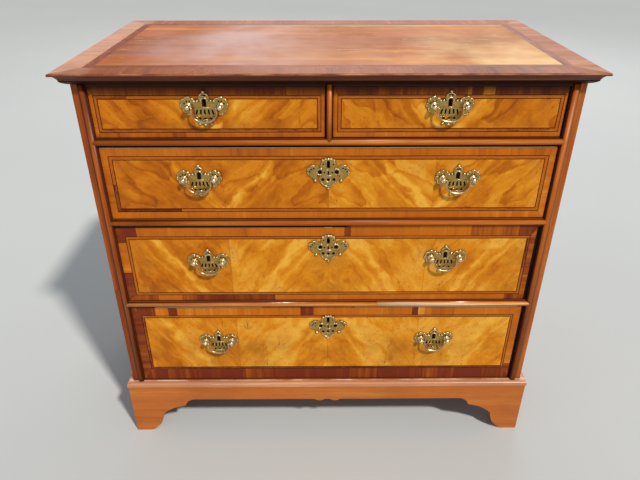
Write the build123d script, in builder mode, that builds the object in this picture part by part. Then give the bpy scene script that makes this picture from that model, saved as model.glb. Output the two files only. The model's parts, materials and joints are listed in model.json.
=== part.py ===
from build123d import *
import os

# Walnut chest of drawers: two short drawers over three long ones, on bracket feet.
# Millimetres. +Z is up, the front faces -Y, and the origin is on the floor under the middle of the top.

# ---- Driving dimensions ------------------------------------------------------------------------

HEIGHT = 905.0
TOP_WIDTH = 1000.0
TOP_DEPTH = 557.0
TOP_THICK = 15.0
TOP_LIP = 5.0               # thickness of the rounded lip round the front and sides of the top
OVERHANG = 28.0             # top past the case, at the front and at each side
LIP_WIDTH = 5.0             # flat underside of the lip, outside the hollow
HOLLOW_FOOT = 14.5          # where the hollow under the lip meets the moulding, out from the case
TOP_MOULDING_HEIGHT = 9.0

SIDE_THICK = 26.0
BACK_THICK = 10.0
BACK_BOARD_COUNT = 4
BACK_REBATE = 13.0          # how far the back boards reach into each side
HOUSING = 6.0               # depth of the grooves in the sides that hold rails and dustboards

CASE_FLOOR = 159.0          # upper face of the case bottom
CASE_UNDERSIDE = 145.0      # lower face of the case bottom, on the bracket base
RAIL_THICK = 14.0
RAIL_DEPTH = 70.0
RAIL_TOPS = (394.0, 601.0, 776.0)
DUSTBOARD_THICK = 8.0
DIVIDER_THICK = 12.0

BEAD_PROUD = 5.5            # half-round mouldings, proud of the case front
STILE_BEAD = 14.0
DIVIDER_BEAD = 12.0

BASE_MOULDING_PROUD = 14.0
BASE_PROUD = 12.0           # bracket base past the case
BASE_THICK = 20.0
APRON_HEIGHT = 105.0        # floor to the apron's lower edge
FOOT_BLOCK = 34.0
FOOT_BLOCK_LIFT = 5.0

DRAWER_RECESS = 3.0         # drawer fronts behind the case front
DRAWER_LENGTH = 497.0
FRONT_THICK = 20.0
LINING_THICK = 8.0
LINING_INSET = 1.0          # drawer sides in from the ends of the front
LINING_DROP = 5.0           # top of the drawer sides below the top of the front
LINING_SLACK = 0.5          # drawer sides below the front, so that they run on the boards
BACK_DROP = 9.0             # top of the drawer back below the top of the front
DRAWER_BOTTOM_THICK = 7.0
DRAWER_BOTTOM_LIFT = 6.0
GROOVE = 4.0
DOVETAIL_LENGTH = 13.0
DOVETAIL_FLARE = 5.0
DOVETAIL_PITCH = 48.0

POST_SPACING = 60.5
BALL_RADIUS = 5.2
BAIL_STANDOFF = 11.0        # hinge line in front of the plate
BAIL_RADIUS = 1.65
GRIP_RADIUS = 2.7           # of the bail's middle
GRIP_HALF = 13.0
BAIL_DROP = 28.0
BAIL_CLEARANCE = 0.06       # radial, in the heads of the posts
SHANK_RADIUS = 2.8
SHANK_CLEARANCE = 0.1
PLATE_THICK = 2.2
COLLAR_RADIUS = 5.6
COLLAR_THICK = 1.6
NUT_RADIUS = 5.5
NUT_THICK = 4.0

LOCK_WIDTH = 48.0
LOCK_HEIGHT = 60.0
LOCK_THICK = 12.0
SELVEDGE_THICK = 2.0
BOLT_WIDTH = 26.0
BOLT_THICK = 5.0
BOLT_HEIGHT = 40.0
BOLT_THROW = 8.0
BOLT_SLACK = 0.3
BOLT_SET_DOWN = 0.5         # top of a drawn bolt below the top of the front
BOLT_NOTCH_WIDTH = 12.0     # where the key turns, in the bolt's lower edge
BOLT_NOTCH_HEIGHT = 18.0
MORTISE_HALF_X = BOLT_WIDTH / 2 + 2
MORTISE_HALF_Y = BOLT_THICK / 2 + 1
MORTISE_DEPTH = BOLT_THROW + 2
KEYHOLE_EYE_RADIUS = 3.4
KEYHOLE_EYE_RISE = 4.0
KEYHOLE_SLOT_WIDTH = 5.0
KEYHOLE_SLOT_HEIGHT = 11.0
KEYHOLE_SLOT_DROP = 2.0
HANDLE_KEYHOLE_RISE = 5.5   # keyhole above the posts, where the plate serves as escutcheon
ESCUTCHEON_KEYHOLE_RISE = 17.0

# Each drawer: name, centre x, width, lower and upper edge of its front, handle centres, escutcheon centre.
DRAWERS = (
    ("short_left", -226.0, 437.0, 777.0, 874.5, ((-232.5, 839.5),), None),
    ("short_right", 226.0, 437.0, 777.0, 874.5, ((225.0, 839.5),), None),
    ("upper_long", 0.0, 889.0, 602.0, 760.0, ((-257.0, 693.0), (256.5, 692.0)), (-1.0, 705.0)),
    ("middle_long", 0.0, 889.0, 395.0, 585.0, ((-257.0, 500.5), (251.0, 508.0)), (0.0, 533.0)),
    ("lower_long", 0.0, 889.0, 160.0, 378.0, ((-254.0, 281.0), (248.0, 285.0)), (1.0, 322.0)),
)

# ---- Planes and widths worked out from them ----------------------------------------------------

CASE_WIDTH = TOP_WIDTH - 2 * OVERHANG
CASE_FRONT = OVERHANG - TOP_DEPTH / 2
CASE_BACK = TOP_DEPTH / 2
CASE_TOP = HEIGHT - TOP_THICK
OPENING_HALF = CASE_WIDTH / 2 - SIDE_THICK
TOP_RAIL_UNDERSIDE = CASE_TOP - RAIL_THICK
TOP_MOULDING_UNDERSIDE = CASE_TOP - TOP_MOULDING_HEIGHT
INNER_BACK = CASE_BACK - BACK_THICK

FACE = CASE_FRONT + DRAWER_RECESS
FRONT_BACK = FACE + FRONT_THICK
BAIL_Y = FACE - PLATE_THICK - BAIL_STANDOFF
LOCK_FRONT = FRONT_BACK - LOCK_THICK
BOLT_Y = LOCK_FRONT + LOCK_THICK / 2

os.makedirs("parts", exist_ok=True)


# ---- Helpers -----------------------------------------------------------------------------------

def save(name, *pieces):
    """Write one node: a single piece, or a group of separate solids."""
    node = pieces[0].part if len(pieces) == 1 else Compound(children=[piece.part for piece in pieces])
    node.label = name
    export_step(node, f"parts/{name}.step")


def facing_front(x, y, z):
    """A plane facing the front, with local x along +X and local y along +Z."""
    return Plane(origin=(x, y, z), x_dir=(1, 0, 0), z_dir=(0, -1, 0))


def box_between(low, high, mode=Mode.ADD):
    """A box given by its lowest and highest corners, in the part being built."""
    size = [b - a for a, b in zip(low, high)]
    centre = tuple((a + b) / 2 for a, b in zip(low, high))
    with Locations(centre):
        Box(*size, mode=mode)


def lock_place(handles, escutcheon):
    """Where a drawer's keyhole is: its x and z."""
    if escutcheon:
        return escutcheon[0], escutcheon[1] + ESCUTCHEON_KEYHOLE_RISE
    return handles[0][0], handles[0][1] + HANDLE_KEYHOLE_RISE


def mitre_plane(side):
    """The vertical plane of a front corner's mitre; its normal points along the front."""
    return Plane(origin=(side * CASE_WIDTH / 2, CASE_FRONT, 0), z_dir=(-side, -1, 0))


def mitred_front(outline):
    """A front length; outline draws its section, with local x outwards and local y up."""
    with BuildPart() as length:
        with BuildSketch(Plane(origin=(0, CASE_FRONT, 0), x_dir=(0, -1, 0), z_dir=(-1, 0, 0))):
            outline()
        extrude(amount=TOP_WIDTH / 2, both=True)
        for side in (-1, 1):
            split(bisect_by=mitre_plane(side), keep=Keep.TOP)
    return length


def mitred_side(side, outline):
    """A side length, from its mitre to the back of the case."""
    reach = CASE_BACK - CASE_FRONT + OVERHANG
    with BuildPart() as length:
        with BuildSketch(Plane(origin=(side * CASE_WIDTH / 2, CASE_BACK, 0), x_dir=(side, 0, 0),
                               z_dir=(0, -side, 0))):
            outline()
        extrude(amount=side * reach)
        split(bisect_by=mitre_plane(side), keep=Keep.BOTTOM)
    return length


# ---- Carcass -----------------------------------------------------------------------------------

def make_side(name, side):
    """A case side, grooved for the rails and dustboards and rebated for the back boards."""
    inner = side * OPENING_HALF
    outer = side * CASE_WIDTH / 2
    with BuildPart() as board:
        box_between((min(inner, outer), CASE_FRONT, CASE_FLOOR), (max(inner, outer), CASE_BACK, CASE_TOP))
        rebate = inner + side * BACK_REBATE
        box_between((min(inner, rebate), INNER_BACK, CASE_FLOOR), (max(inner, rebate), CASE_BACK, CASE_TOP),
                    mode=Mode.SUBTRACT)
        groove = inner + side * HOUSING
        near, far = min(inner, groove), max(inner, groove)
        for top in (*RAIL_TOPS, CASE_TOP):
            box_between((near, CASE_FRONT, top - RAIL_THICK), (far, CASE_FRONT + RAIL_DEPTH, top),
                        mode=Mode.SUBTRACT)
        for top in RAIL_TOPS:
            box_between((near, CASE_FRONT + RAIL_DEPTH, top - DUSTBOARD_THICK), (far, INNER_BACK, top),
                        mode=Mode.SUBTRACT)
    save(name, board)


def hollow_cutter():
    """The waste below the lip: everything outside a slanting hollow, in a mitred section's sketch."""
    lip_underside = HEIGHT - TOP_LIP
    hollow_top = OVERHANG - LIP_WIDTH
    outside = OVERHANG + 1
    with BuildLine() as outline:
        SagittaArc((HOLLOW_FOOT, CASE_TOP), (hollow_top, lip_underside), 1.2)
        Polyline((hollow_top, lip_underside), (outside, lip_underside), (outside, CASE_TOP),
                 (HOLLOW_FOOT, CASE_TOP))
    make_face(outline.edges())


def make_top_board():
    """The top: a thin rounded lip round the front and sides, above a slanting hollow."""
    lip_edges = (HEIGHT, HEIGHT - TOP_LIP)
    with BuildPart() as board:
        box_between((-TOP_WIDTH / 2, -TOP_DEPTH / 2, CASE_TOP), (TOP_WIDTH / 2, TOP_DEPTH / 2, HEIGHT))
        with BuildSketch(Plane(origin=(0, CASE_FRONT, 0), x_dir=(0, -1, 0), z_dir=(-1, 0, 0))):
            hollow_cutter()
        extrude(amount=TOP_WIDTH / 2, both=True, mode=Mode.SUBTRACT)
        for side in (-1, 1):
            with BuildSketch(Plane(origin=(side * CASE_WIDTH / 2, 0, 0), x_dir=(side, 0, 0),
                                   z_dir=(0, -side, 0))):
                hollow_cutter()
            extrude(amount=TOP_DEPTH / 2, both=True, mode=Mode.SUBTRACT)
        outer = board.edges().filter_by(
            lambda edge: abs(edge.center().X) > TOP_WIDTH / 2 - 0.1 or edge.center().Y < 0.1 - TOP_DEPTH / 2)
        lip = outer.filter_by(lambda edge: any(abs(edge.center().Z - z) < 0.1 for z in lip_edges))
        fillet(lip.filter_by(lambda edge: edge.center().Y < TOP_DEPTH / 2 - 1), radius=TOP_LIP * 0.45)
    save("top_board", board)


def top_moulding_outline():
    """A small cove that carries the hollow under the top down to the case."""
    foot, fillet_foot = 1.5, CASE_TOP - 1.5
    with BuildLine() as outline:
        Polyline((0, CASE_TOP), (HOLLOW_FOOT, CASE_TOP), (HOLLOW_FOOT, fillet_foot))
        SagittaArc((HOLLOW_FOOT, fillet_foot), (foot, TOP_MOULDING_UNDERSIDE), 0.8)
        Polyline((foot, TOP_MOULDING_UNDERSIDE), (0, TOP_MOULDING_UNDERSIDE), (0, CASE_TOP))
    make_face(outline.edges())


def base_moulding_outline():
    """A flat top, a round nose and a flat underside over the bracket base."""
    top, underside, nose = CASE_FLOOR - 0.5, CASE_UNDERSIDE, 5.0
    with BuildLine() as outline:
        Line((0, top), (BASE_MOULDING_PROUD - nose, top))
        RadiusArc((BASE_MOULDING_PROUD - nose, top), (BASE_MOULDING_PROUD, top - nose), nose)
        Polyline((BASE_MOULDING_PROUD, top - nose), (BASE_MOULDING_PROUD, underside + 3),
                 (BASE_PROUD, underside), (0, underside), (0, top))
    make_face(outline.edges())


def make_mitred_set(name, outline):
    """One moulding's front and two side lengths, as three solids."""
    save(name, mitred_front(outline), mitred_side(-1, outline), mitred_side(1, outline))


def make_case_bottom():
    with BuildPart() as board:
        box_between((-CASE_WIDTH / 2, CASE_FRONT, CASE_UNDERSIDE), (CASE_WIDTH / 2, CASE_BACK, CASE_FLOOR))
    save("carcass_bottom", board)


def make_rails():
    """The top rail and three drawer rails, with a mortise over each lock bolt."""
    half = OPENING_HALF + HOUSING
    rails = []
    for top in (*RAIL_TOPS, CASE_TOP):
        with BuildPart() as rail:
            box_between((-half, CASE_FRONT, top - RAIL_THICK), (half, CASE_FRONT + RAIL_DEPTH, top))
            for _, _, _, _, front_top, handles, escutcheon in DRAWERS:
                if 0 < top - RAIL_THICK - front_top < RAIL_THICK:
                    x, _ = lock_place(handles, escutcheon)
                    box_between((x - MORTISE_HALF_X, BOLT_Y - MORTISE_HALF_Y, top - RAIL_THICK),
                                (x + MORTISE_HALF_X, BOLT_Y + MORTISE_HALF_Y,
                                 top - RAIL_THICK + MORTISE_DEPTH), mode=Mode.SUBTRACT)
        rails.append(rail)
    save("drawer_rails", *rails)


def make_dustboards():
    half = OPENING_HALF + HOUSING
    boards = []
    for top in RAIL_TOPS:
        with BuildPart() as board:
            box_between((-half, CASE_FRONT + RAIL_DEPTH, top - DUSTBOARD_THICK), (half, INNER_BACK, top))
        boards.append(board)
    save("dustboards", *boards)


def make_divider():
    """The upright board between the short drawers, from the rail to the top rail and the top."""
    half = DIVIDER_THICK / 2
    with BuildPart() as board:
        box_between((-half, CASE_FRONT, RAIL_TOPS[-1]), (half, INNER_BACK, TOP_RAIL_UNDERSIDE))
        box_between((-half, CASE_FRONT + RAIL_DEPTH, TOP_RAIL_UNDERSIDE), (half, INNER_BACK, CASE_TOP))
    save("short_drawer_divider", board)


def half_round(width):
    """The closed section of a half-round moulding, on the sketch's local x axis."""
    with BuildLine() as outline:
        ThreePointArc((-width / 2, 0), (0, BEAD_PROUD), (width / 2, 0))
        Line((width / 2, 0), (-width / 2, 0))
    make_face(outline.edges())


def upright_bead(x, width, low, high):
    with BuildPart() as bead:
        with BuildSketch(Plane(origin=(x, CASE_FRONT, low), x_dir=(-1, 0, 0), z_dir=(0, 0, 1))):
            half_round(width)
        extrude(amount=high - low)
    return bead


def make_half_rounds():
    """Stile, divider and rail mouldings; each rail length is scribed over the uprights it meets."""
    stile_x = OPENING_HALF + STILE_BEAD / 2
    stiles = [upright_bead(side * stile_x, STILE_BEAD, CASE_FLOOR, TOP_MOULDING_UNDERSIDE)
              for side in (-1, 1)]
    top_rail_middle = RAIL_TOPS[-1] - RAIL_THICK / 2
    divider = upright_bead(0, DIVIDER_BEAD, top_rail_middle, TOP_MOULDING_UNDERSIDE)
    rails = []
    for top in RAIL_TOPS:
        middle = top - RAIL_THICK / 2
        with BuildPart() as bead:
            with BuildSketch(Plane(origin=(-stile_x, CASE_FRONT, middle), x_dir=(0, 0, 1), z_dir=(1, 0, 0))):
                half_round(RAIL_THICK)
            extrude(amount=2 * stile_x)
            for upright in stiles:
                add(upright.part, mode=Mode.SUBTRACT)
        rails.append(bead)
    with BuildPart() as scribed_divider:
        add(divider.part)
        add(rails[-1].part, mode=Mode.SUBTRACT)
    save("half_round_mouldings", *stiles, *rails, scribed_divider)


def make_back_boards():
    """Horizontal boards, butted edge to edge in the rebates of the sides."""
    half = OPENING_HALF + BACK_REBATE
    board_height = (CASE_TOP - CASE_FLOOR) / BACK_BOARD_COUNT
    boards = []
    for index in range(BACK_BOARD_COUNT):
        low = CASE_FLOOR + index * board_height
        with BuildPart() as board:
            box_between((-half, INNER_BACK, low), (half, CASE_BACK, low + board_height))
            chamfer(board.faces().sort_by(Axis.Y)[-1].edges().filter_by(Axis.X), length=1.0)
        boards.append(board)
    save("back_boards", *boards)


# ---- Bracket base ------------------------------------------------------------------------------

BASE_HALF = CASE_WIDTH / 2 + BASE_PROUD
FOOT_WIDTH = 38.0           # of the feet, where they stand on the floor

# The bracket's outline: distance along the apron from the foot's inner corner, and height.
SWELL_MIDDLE = (24.0, 21.0)
SWELL_TOP = (34.0, 55.0)
CUSP = (39.0, 59.0)
COVE_MIDDLE = (63.0, 75.0)
COVE_END = (94.0, 84.0)
CURL_MIDDLE = (101.0, 97.0)
APRON_END = (116.0, APRON_HEIGHT)

# A back foot's closing board: distance in from its outer edge, and height.
BACK_BRACKET = ((0.0, 0.0), (40.0, 0.0), (110.0, 90.0), (110.0, CASE_UNDERSIDE), (0.0, CASE_UNDERSIDE))

PENDANT_OUTER = 32.0        # each lobe of the pendant, from its outer end
PENDANT_INNER = 6.0         # to the step in the middle
PENDANT_DEPTH = 5.0


def foot_curve(edge):
    """From the foot's inner corner on the floor up to the apron; edge is the foot's outer face."""
    inner = edge - FOOT_WIDTH
    swell_middle, swell_top, cusp, cove_middle, cove_end, curl_middle, apron_end = [
        (inner - along, height)
        for along, height in (SWELL_MIDDLE, SWELL_TOP, CUSP, COVE_MIDDLE, COVE_END, CURL_MIDDLE, APRON_END)]
    ThreePointArc((inner, 0), swell_middle, swell_top)
    Line(swell_top, cusp)
    ThreePointArc(cusp, cove_middle, cove_end)
    ThreePointArc(cove_end, curl_middle, apron_end)


def pendant_curve():
    """Half of the small double-lobed drop in the middle of the front apron."""
    lobe_middle = ((PENDANT_OUTER + PENDANT_INNER) / 2, APRON_HEIGHT - PENDANT_DEPTH)
    ThreePointArc((PENDANT_OUTER, APRON_HEIGHT), lobe_middle, (PENDANT_INNER, APRON_HEIGHT))
    Line((PENDANT_INNER, APRON_HEIGHT), (0, APRON_HEIGHT))


def make_front_bracket():
    """The front apron with its two bracket feet, mitred to the side brackets."""
    apron_end = BASE_HALF - FOOT_WIDTH - APRON_END[0]
    with BuildPart() as board:
        with BuildSketch(facing_front(0, CASE_FRONT - BASE_PROUD + BASE_THICK, 0)):
            with BuildLine():
                Polyline((0, CASE_UNDERSIDE), (BASE_HALF, CASE_UNDERSIDE), (BASE_HALF, 0),
                         (BASE_HALF - FOOT_WIDTH, 0))
                foot_curve(BASE_HALF)
                pendant_curve()
                Line((apron_end, APRON_HEIGHT), (PENDANT_OUTER, APRON_HEIGHT))
                Line((0, APRON_HEIGHT), (0, CASE_UNDERSIDE))
            make_face()
            mirror(about=Plane.YZ)
        extrude(amount=BASE_THICK)
        for side in (-1, 1):
            split(bisect_by=mitre_plane(side), keep=Keep.TOP)
    save("front_bracket", board)


def side_bracket(side):
    """A side apron with a foot at each end, drawn from its middle."""
    front_edge = BASE_PROUD - CASE_FRONT
    middle = -(CASE_BACK - front_edge) / 2
    half = front_edge - middle
    outer_face = side * BASE_HALF
    with BuildPart() as board:
        with BuildSketch(Plane(origin=(outer_face - side * BASE_THICK, -middle, 0), x_dir=(0, side, 0),
                               z_dir=(side, 0, 0))):
            with BuildLine():
                Polyline((0, CASE_UNDERSIDE), (half, CASE_UNDERSIDE), (half, 0), (half - FOOT_WIDTH, 0))
                foot_curve(half)
                Polyline((half - FOOT_WIDTH - APRON_END[0], APRON_HEIGHT), (0, APRON_HEIGHT),
                         (0, CASE_UNDERSIDE))
            make_face()
            mirror(about=Plane.YZ)
        extrude(amount=BASE_THICK)
        split(bisect_by=mitre_plane(side), keep=Keep.BOTTOM)
    return board


def back_bracket(side):
    """A plain sloped board closing a back foot."""
    outer = BASE_HALF - BASE_THICK
    with BuildPart() as board:
        with BuildSketch(facing_front(0, CASE_BACK, 0)):
            with BuildLine():
                Polyline([(side * (outer - inset), height) for inset, height in BACK_BRACKET], close=True)
            make_face()
        extrude(amount=BASE_THICK)
    return board


def make_foot_blocks():
    """Glue blocks in the four corners of the base, stopping short of the floor."""
    blocks = []
    corner_x = BASE_HALF - BASE_THICK
    front_y = CASE_FRONT - BASE_PROUD + BASE_THICK
    back_y = CASE_BACK - BASE_THICK - FOOT_BLOCK
    for side in (-1, 1):
        for y in (front_y, back_y):
            inner, outer = sorted((side * corner_x, side * (corner_x - FOOT_BLOCK)))
            with BuildPart() as block:
                box_between((inner, y, FOOT_BLOCK_LIFT), (outer, y + FOOT_BLOCK, CASE_UNDERSIDE))
                chamfer(block.edges().group_by(Axis.Z)[0], length=3.0)
            blocks.append(block)
    save("foot_blocks", *blocks)


# ---- Drawers -----------------------------------------------------------------------------------

def tail_centres(low, high):
    """Heights of a drawer corner's dovetails."""
    count = max(2, round((high - low) / DOVETAIL_PITCH))
    pitch = (high - low) / count
    return [low + (index + 0.5) * pitch for index in range(count)], pitch * 0.3


def dovetail_outline(low, high):
    """The tails of one drawer side, in a sketch with local x along -Y and local y up."""
    centres, half = tail_centres(low, high)
    root, tip = -FRONT_BACK, -FRONT_BACK + DOVETAIL_LENGTH
    for centre in centres:
        with BuildLine() as outline:
            Polyline((root, centre - half), (tip, centre - half - DOVETAIL_FLARE / 2),
                     (tip, centre + half + DOVETAIL_FLARE / 2), (root, centre + half), close=True)
        make_face(outline.edges())


def keyhole_outline():
    """A round eye over a slot, about the middle of the whole keyhole."""
    with Locations((0, KEYHOLE_EYE_RISE)):
        Circle(KEYHOLE_EYE_RADIUS)
    with Locations((0, -KEYHOLE_SLOT_DROP)):
        Rectangle(KEYHOLE_SLOT_WIDTH, KEYHOLE_SLOT_HEIGHT)


def lining_levels(low, high):
    """Lower and upper edge of a drawer's sides."""
    return low - LINING_SLACK, high - LINING_DROP


def make_front(name, x, width, low, high, handles, keyhole):
    """A drawer front: dovetail sockets, bottom groove, lock mortise, keyhole and post holes."""
    side_low, side_high = lining_levels(low, high)
    groove_low = low + DRAWER_BOTTOM_LIFT
    groove_half = width / 2 - LINING_INSET - LINING_THICK + GROOVE
    lock_x, lock_z = keyhole
    with BuildPart() as front:
        box_between((x - width / 2, FACE, low), (x + width / 2, FRONT_BACK, high))
        box_between((x - groove_half, FRONT_BACK - GROOVE, groove_low),
                    (x + groove_half, FRONT_BACK, groove_low + DRAWER_BOTTOM_THICK), mode=Mode.SUBTRACT)
        for side in (-1, 1):
            edge = x + side * width / 2
            with BuildSketch(Plane(origin=(edge, 0, 0), x_dir=(0, -1, 0), z_dir=(-1, 0, 0))):
                dovetail_outline(side_low, side_high)
            extrude(amount=side * (LINING_THICK + LINING_INSET), mode=Mode.SUBTRACT)
        box_between((lock_x - LOCK_WIDTH / 2, LOCK_FRONT, high - LOCK_HEIGHT),
                    (lock_x + LOCK_WIDTH / 2, FRONT_BACK, high), mode=Mode.SUBTRACT)
        with BuildSketch(facing_front(lock_x, FRONT_BACK, lock_z)):
            keyhole_outline()
        extrude(amount=FRONT_THICK, mode=Mode.SUBTRACT)
        for handle_x, handle_z in handles:
            for offset in (-POST_SPACING / 2, POST_SPACING / 2):
                with BuildSketch(facing_front(handle_x + offset, FRONT_BACK, handle_z)):
                    Circle(SHANK_RADIUS + SHANK_CLEARANCE)
                extrude(amount=FRONT_THICK, mode=Mode.SUBTRACT)
    save(f"{name}_drawer_front", front)


def drawer_side(x, width, low, high, side):
    """A drawer side with its tails, and a groove for the bottom."""
    side_low, side_high = lining_levels(low, high)
    inner = x + side * (width / 2 - LINING_INSET - LINING_THICK)
    outer = x + side * (width / 2 - LINING_INSET)
    groove = inner + side * GROOVE
    groove_low = low + DRAWER_BOTTOM_LIFT
    with BuildPart() as board:
        box_between((min(inner, outer), FRONT_BACK, side_low),
                    (max(inner, outer), FRONT_BACK + DRAWER_LENGTH - FRONT_THICK, side_high))
        with BuildSketch(Plane(origin=(max(inner, outer), 0, 0), x_dir=(0, -1, 0), z_dir=(-1, 0, 0))):
            dovetail_outline(side_low, side_high)
        extrude(amount=LINING_THICK)
        box_between((min(inner, groove), FRONT_BACK - GROOVE, groove_low),
                    (max(inner, groove), FRONT_BACK + DRAWER_LENGTH - FRONT_THICK,
                     groove_low + DRAWER_BOTTOM_THICK), mode=Mode.SUBTRACT)
    return board


def make_linings(name, x, width, low, high):
    """Two sides, and a back that stands on the bottom between them."""
    half = width / 2 - LINING_INSET - LINING_THICK
    back_end = FRONT_BACK + DRAWER_LENGTH - FRONT_THICK
    bottom_top = low + DRAWER_BOTTOM_LIFT + DRAWER_BOTTOM_THICK
    with BuildPart() as back:
        box_between((x - half, back_end - LINING_THICK, bottom_top),
                    (x + half, back_end, high - BACK_DROP))
    sides = [drawer_side(x, width, low, high, side) for side in (-1, 1)]
    save(f"{name}_drawer_linings", *sides, back)


def make_drawer_bottom(name, x, width, low):
    half = width / 2 - LINING_INSET - LINING_THICK + GROOVE
    bottom_low = low + DRAWER_BOTTOM_LIFT
    with BuildPart() as board:
        box_between((x - half, FRONT_BACK, bottom_low),
                    (x + half, FRONT_BACK + DRAWER_LENGTH - FRONT_THICK, bottom_low + DRAWER_BOTTOM_THICK))
        box_between((x - half, FRONT_BACK - GROOVE, bottom_low),
                    (x + half, FRONT_BACK, bottom_low + DRAWER_BOTTOM_THICK))
    save(f"{name}_drawer_bottom", board)


# ---- Locks -------------------------------------------------------------------------------------

def make_lock_case(name, x, keyhole_z, top):
    """A flat iron case let into the back of the front, open at the top for its bolt."""
    pocket_half_x = BOLT_WIDTH / 2 + BOLT_SLACK
    pocket_half_y = BOLT_THICK / 2 + BOLT_SLACK
    with BuildPart() as case:
        box_between((x - LOCK_WIDTH / 2, LOCK_FRONT, top - LOCK_HEIGHT),
                    (x + LOCK_WIDTH / 2, FRONT_BACK, top))
        fillet(case.edges().filter_by(Axis.Y).group_by(Axis.Z)[0], radius=3.0)
        box_between((x - pocket_half_x, BOLT_Y - pocket_half_y, top - BOLT_HEIGHT - 1),
                    (x + pocket_half_x, BOLT_Y + pocket_half_y, top), mode=Mode.SUBTRACT)
        with BuildSketch(facing_front(x, LOCK_FRONT, keyhole_z)):
            keyhole_outline()
        extrude(amount=-(LOCK_THICK - SELVEDGE_THICK), mode=Mode.SUBTRACT)
    save(f"{name}_lock_case", case)


def make_lock_bolt(name, x, top):
    """The sliding bolt, notched at its lower edge where the key turns it."""
    high = top - BOLT_SET_DOWN
    low = high - BOLT_HEIGHT
    with BuildPart() as bolt:
        box_between((x - BOLT_WIDTH / 2, BOLT_Y - BOLT_THICK / 2, low),
                    (x + BOLT_WIDTH / 2, BOLT_Y + BOLT_THICK / 2, high))
        box_between((x - BOLT_NOTCH_WIDTH / 2, BOLT_Y - BOLT_THICK / 2, low),
                    (x + BOLT_NOTCH_WIDTH / 2, BOLT_Y + BOLT_THICK / 2, low + BOLT_NOTCH_HEIGHT),
                    mode=Mode.SUBTRACT)
        chamfer(bolt.faces().sort_by(Axis.Z)[-1].edges(), length=0.6)
    save(f"{name}_lock_bolt", bolt)


# ---- Brasses -----------------------------------------------------------------------------------

# Outlines and piercings as (x, z, radius) from the middle of the posts, one side of each mirrored pair.
PLATE_MIDDLE = ((0.0, 15.0, 10.0), (0.0, 27.0, 3.0), (0.0, -35.0, 4.5))
PLATE_PAIRS = ((23.5, 9.0, 6.5), (31.0, 12.5, 6.0), (37.5, 8.5, 6.0), (39.5, 0.5, 6.0), (35.0, -6.5, 6.5),
               (30.0, -13.0, 4.5), (30.25, 2.0, 9.0), (12.5, 9.5, 2.6), (18.5, 9.0, 2.6), (11.0, -34.5, 3.2))
PLATE_HOLES = ((27.0, 9.0, 1.4), (32.5, 8.5, 1.4), (37.0, 4.5, 1.4), (10.0, -24.0, 2.2))
BASKET = ((-20.0, 0.0), (20.0, 0.0), (19.0, -19.0), (9.5, -33.0), (-9.5, -33.0), (-19.0, -19.0))
BASKET_SLOTS = (-15.0, -7.5, 0.0, 7.5, 15.0)
BASKET_SLOT_MIDDLE = -11.5

# The same for an escutcheon, from the middle of its scrolls.
SHIELD_PAIRS = ((17.0, 2.0, 8.0), (25.0, 9.0, 7.0), (31.0, 10.0, 6.5), (37.0, 5.5, 6.0), (36.0, -1.0, 6.0),
                (30.0, -3.0, 8.5), (26.0, -12.0, 4.5), (25.5, -17.0, 3.8), (5.5, 28.5, 3.0), (11.5, 25.5, 3.0))
SHIELD_HOLES = ((16.5, 1.0, 4.2), (29.0, 8.5, 1.5), (34.0, 6.5, 1.5), (37.0, 2.0, 1.5), (7.8, 0.0, 1.6),
                (11.0, -15.0, 3.2), (10.0, 17.0, 1.4))
SHIELD_DROP = ((-6.0, -26.0), (6.0, -26.0), (3.0, -32.0), (0.0, -38.5), (-3.0, -32.0))


def mirrored_circles(circles, mode=Mode.ADD):
    """Circles given as (x, z, radius), each with its mirror image in the middle line."""
    for x, z, radius in circles:
        with Locations((x, z), (-x, z)):
            Circle(radius, mode=mode)


def polygon(points):
    """A closed face in the sketch being drawn."""
    with BuildLine() as outline:
        Polyline(points, close=True)
    make_face(outline.edges())


def keyhole_arch():
    """The arched opening over the lock, with a small window above it."""
    with Locations((0, 4)):
        Rectangle(7.6, 11, mode=Mode.SUBTRACT)
    with Locations((0, 9.5)):
        Circle(3.8, mode=Mode.SUBTRACT)
    with Locations((0, 20)):
        Rectangle(9, 2.6, mode=Mode.SUBTRACT)


def handle_plate(x, z):
    """A pierced backplate: domed top with a finial, lobed wings and a basket below."""
    with BuildPart() as plate:
        with BuildSketch(facing_front(x, FACE, z)):
            for middle_x, middle_z, radius in PLATE_MIDDLE:
                with Locations((middle_x, middle_z)):
                    Circle(radius)
            with Locations((0, 3)):
                Rectangle(44, 11)
            mirrored_circles(PLATE_PAIRS)
            polygon(BASKET)
            keyhole_arch()
            for slot_x in BASKET_SLOTS:
                with Locations(Location((slot_x, BASKET_SLOT_MIDDLE), slot_x)):
                    SlotOverall(10, 3.0, rotation=90, mode=Mode.SUBTRACT)
            with Locations((0, -25)):
                Circle(2.6, mode=Mode.SUBTRACT)
            mirrored_circles(PLATE_HOLES, mode=Mode.SUBTRACT)
            mirrored_circles(((POST_SPACING / 2, 0, SHANK_RADIUS + SHANK_CLEARANCE),), mode=Mode.SUBTRACT)
        extrude(amount=PLATE_THICK)
    return plate


def handle_post(x, z):
    """A turned post: round head, collar on the plate, shank through the front."""
    plate_front = FACE - PLATE_THICK
    shank_end = FRONT_BACK + NUT_THICK + 3
    collar_front = plate_front - COLLAR_THICK
    with BuildPart() as post:
        with BuildSketch(Plane(origin=(x, 0, z), x_dir=(1, 0, 0), z_dir=(0, 0, 1))):
            with BuildLine():
                Polyline((0, BAIL_Y), (0, shank_end), (SHANK_RADIUS, shank_end), (SHANK_RADIUS, plate_front),
                         (COLLAR_RADIUS, plate_front), (COLLAR_RADIUS, collar_front),
                         (SHANK_RADIUS, collar_front - 1.2), (SHANK_RADIUS, BAIL_Y), (0, BAIL_Y))
            make_face()
        revolve(axis=Axis((x, 0, z), (0, 1, 0)))
        with Locations((x, BAIL_Y, z)):
            Sphere(BALL_RADIUS)
    return post


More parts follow.
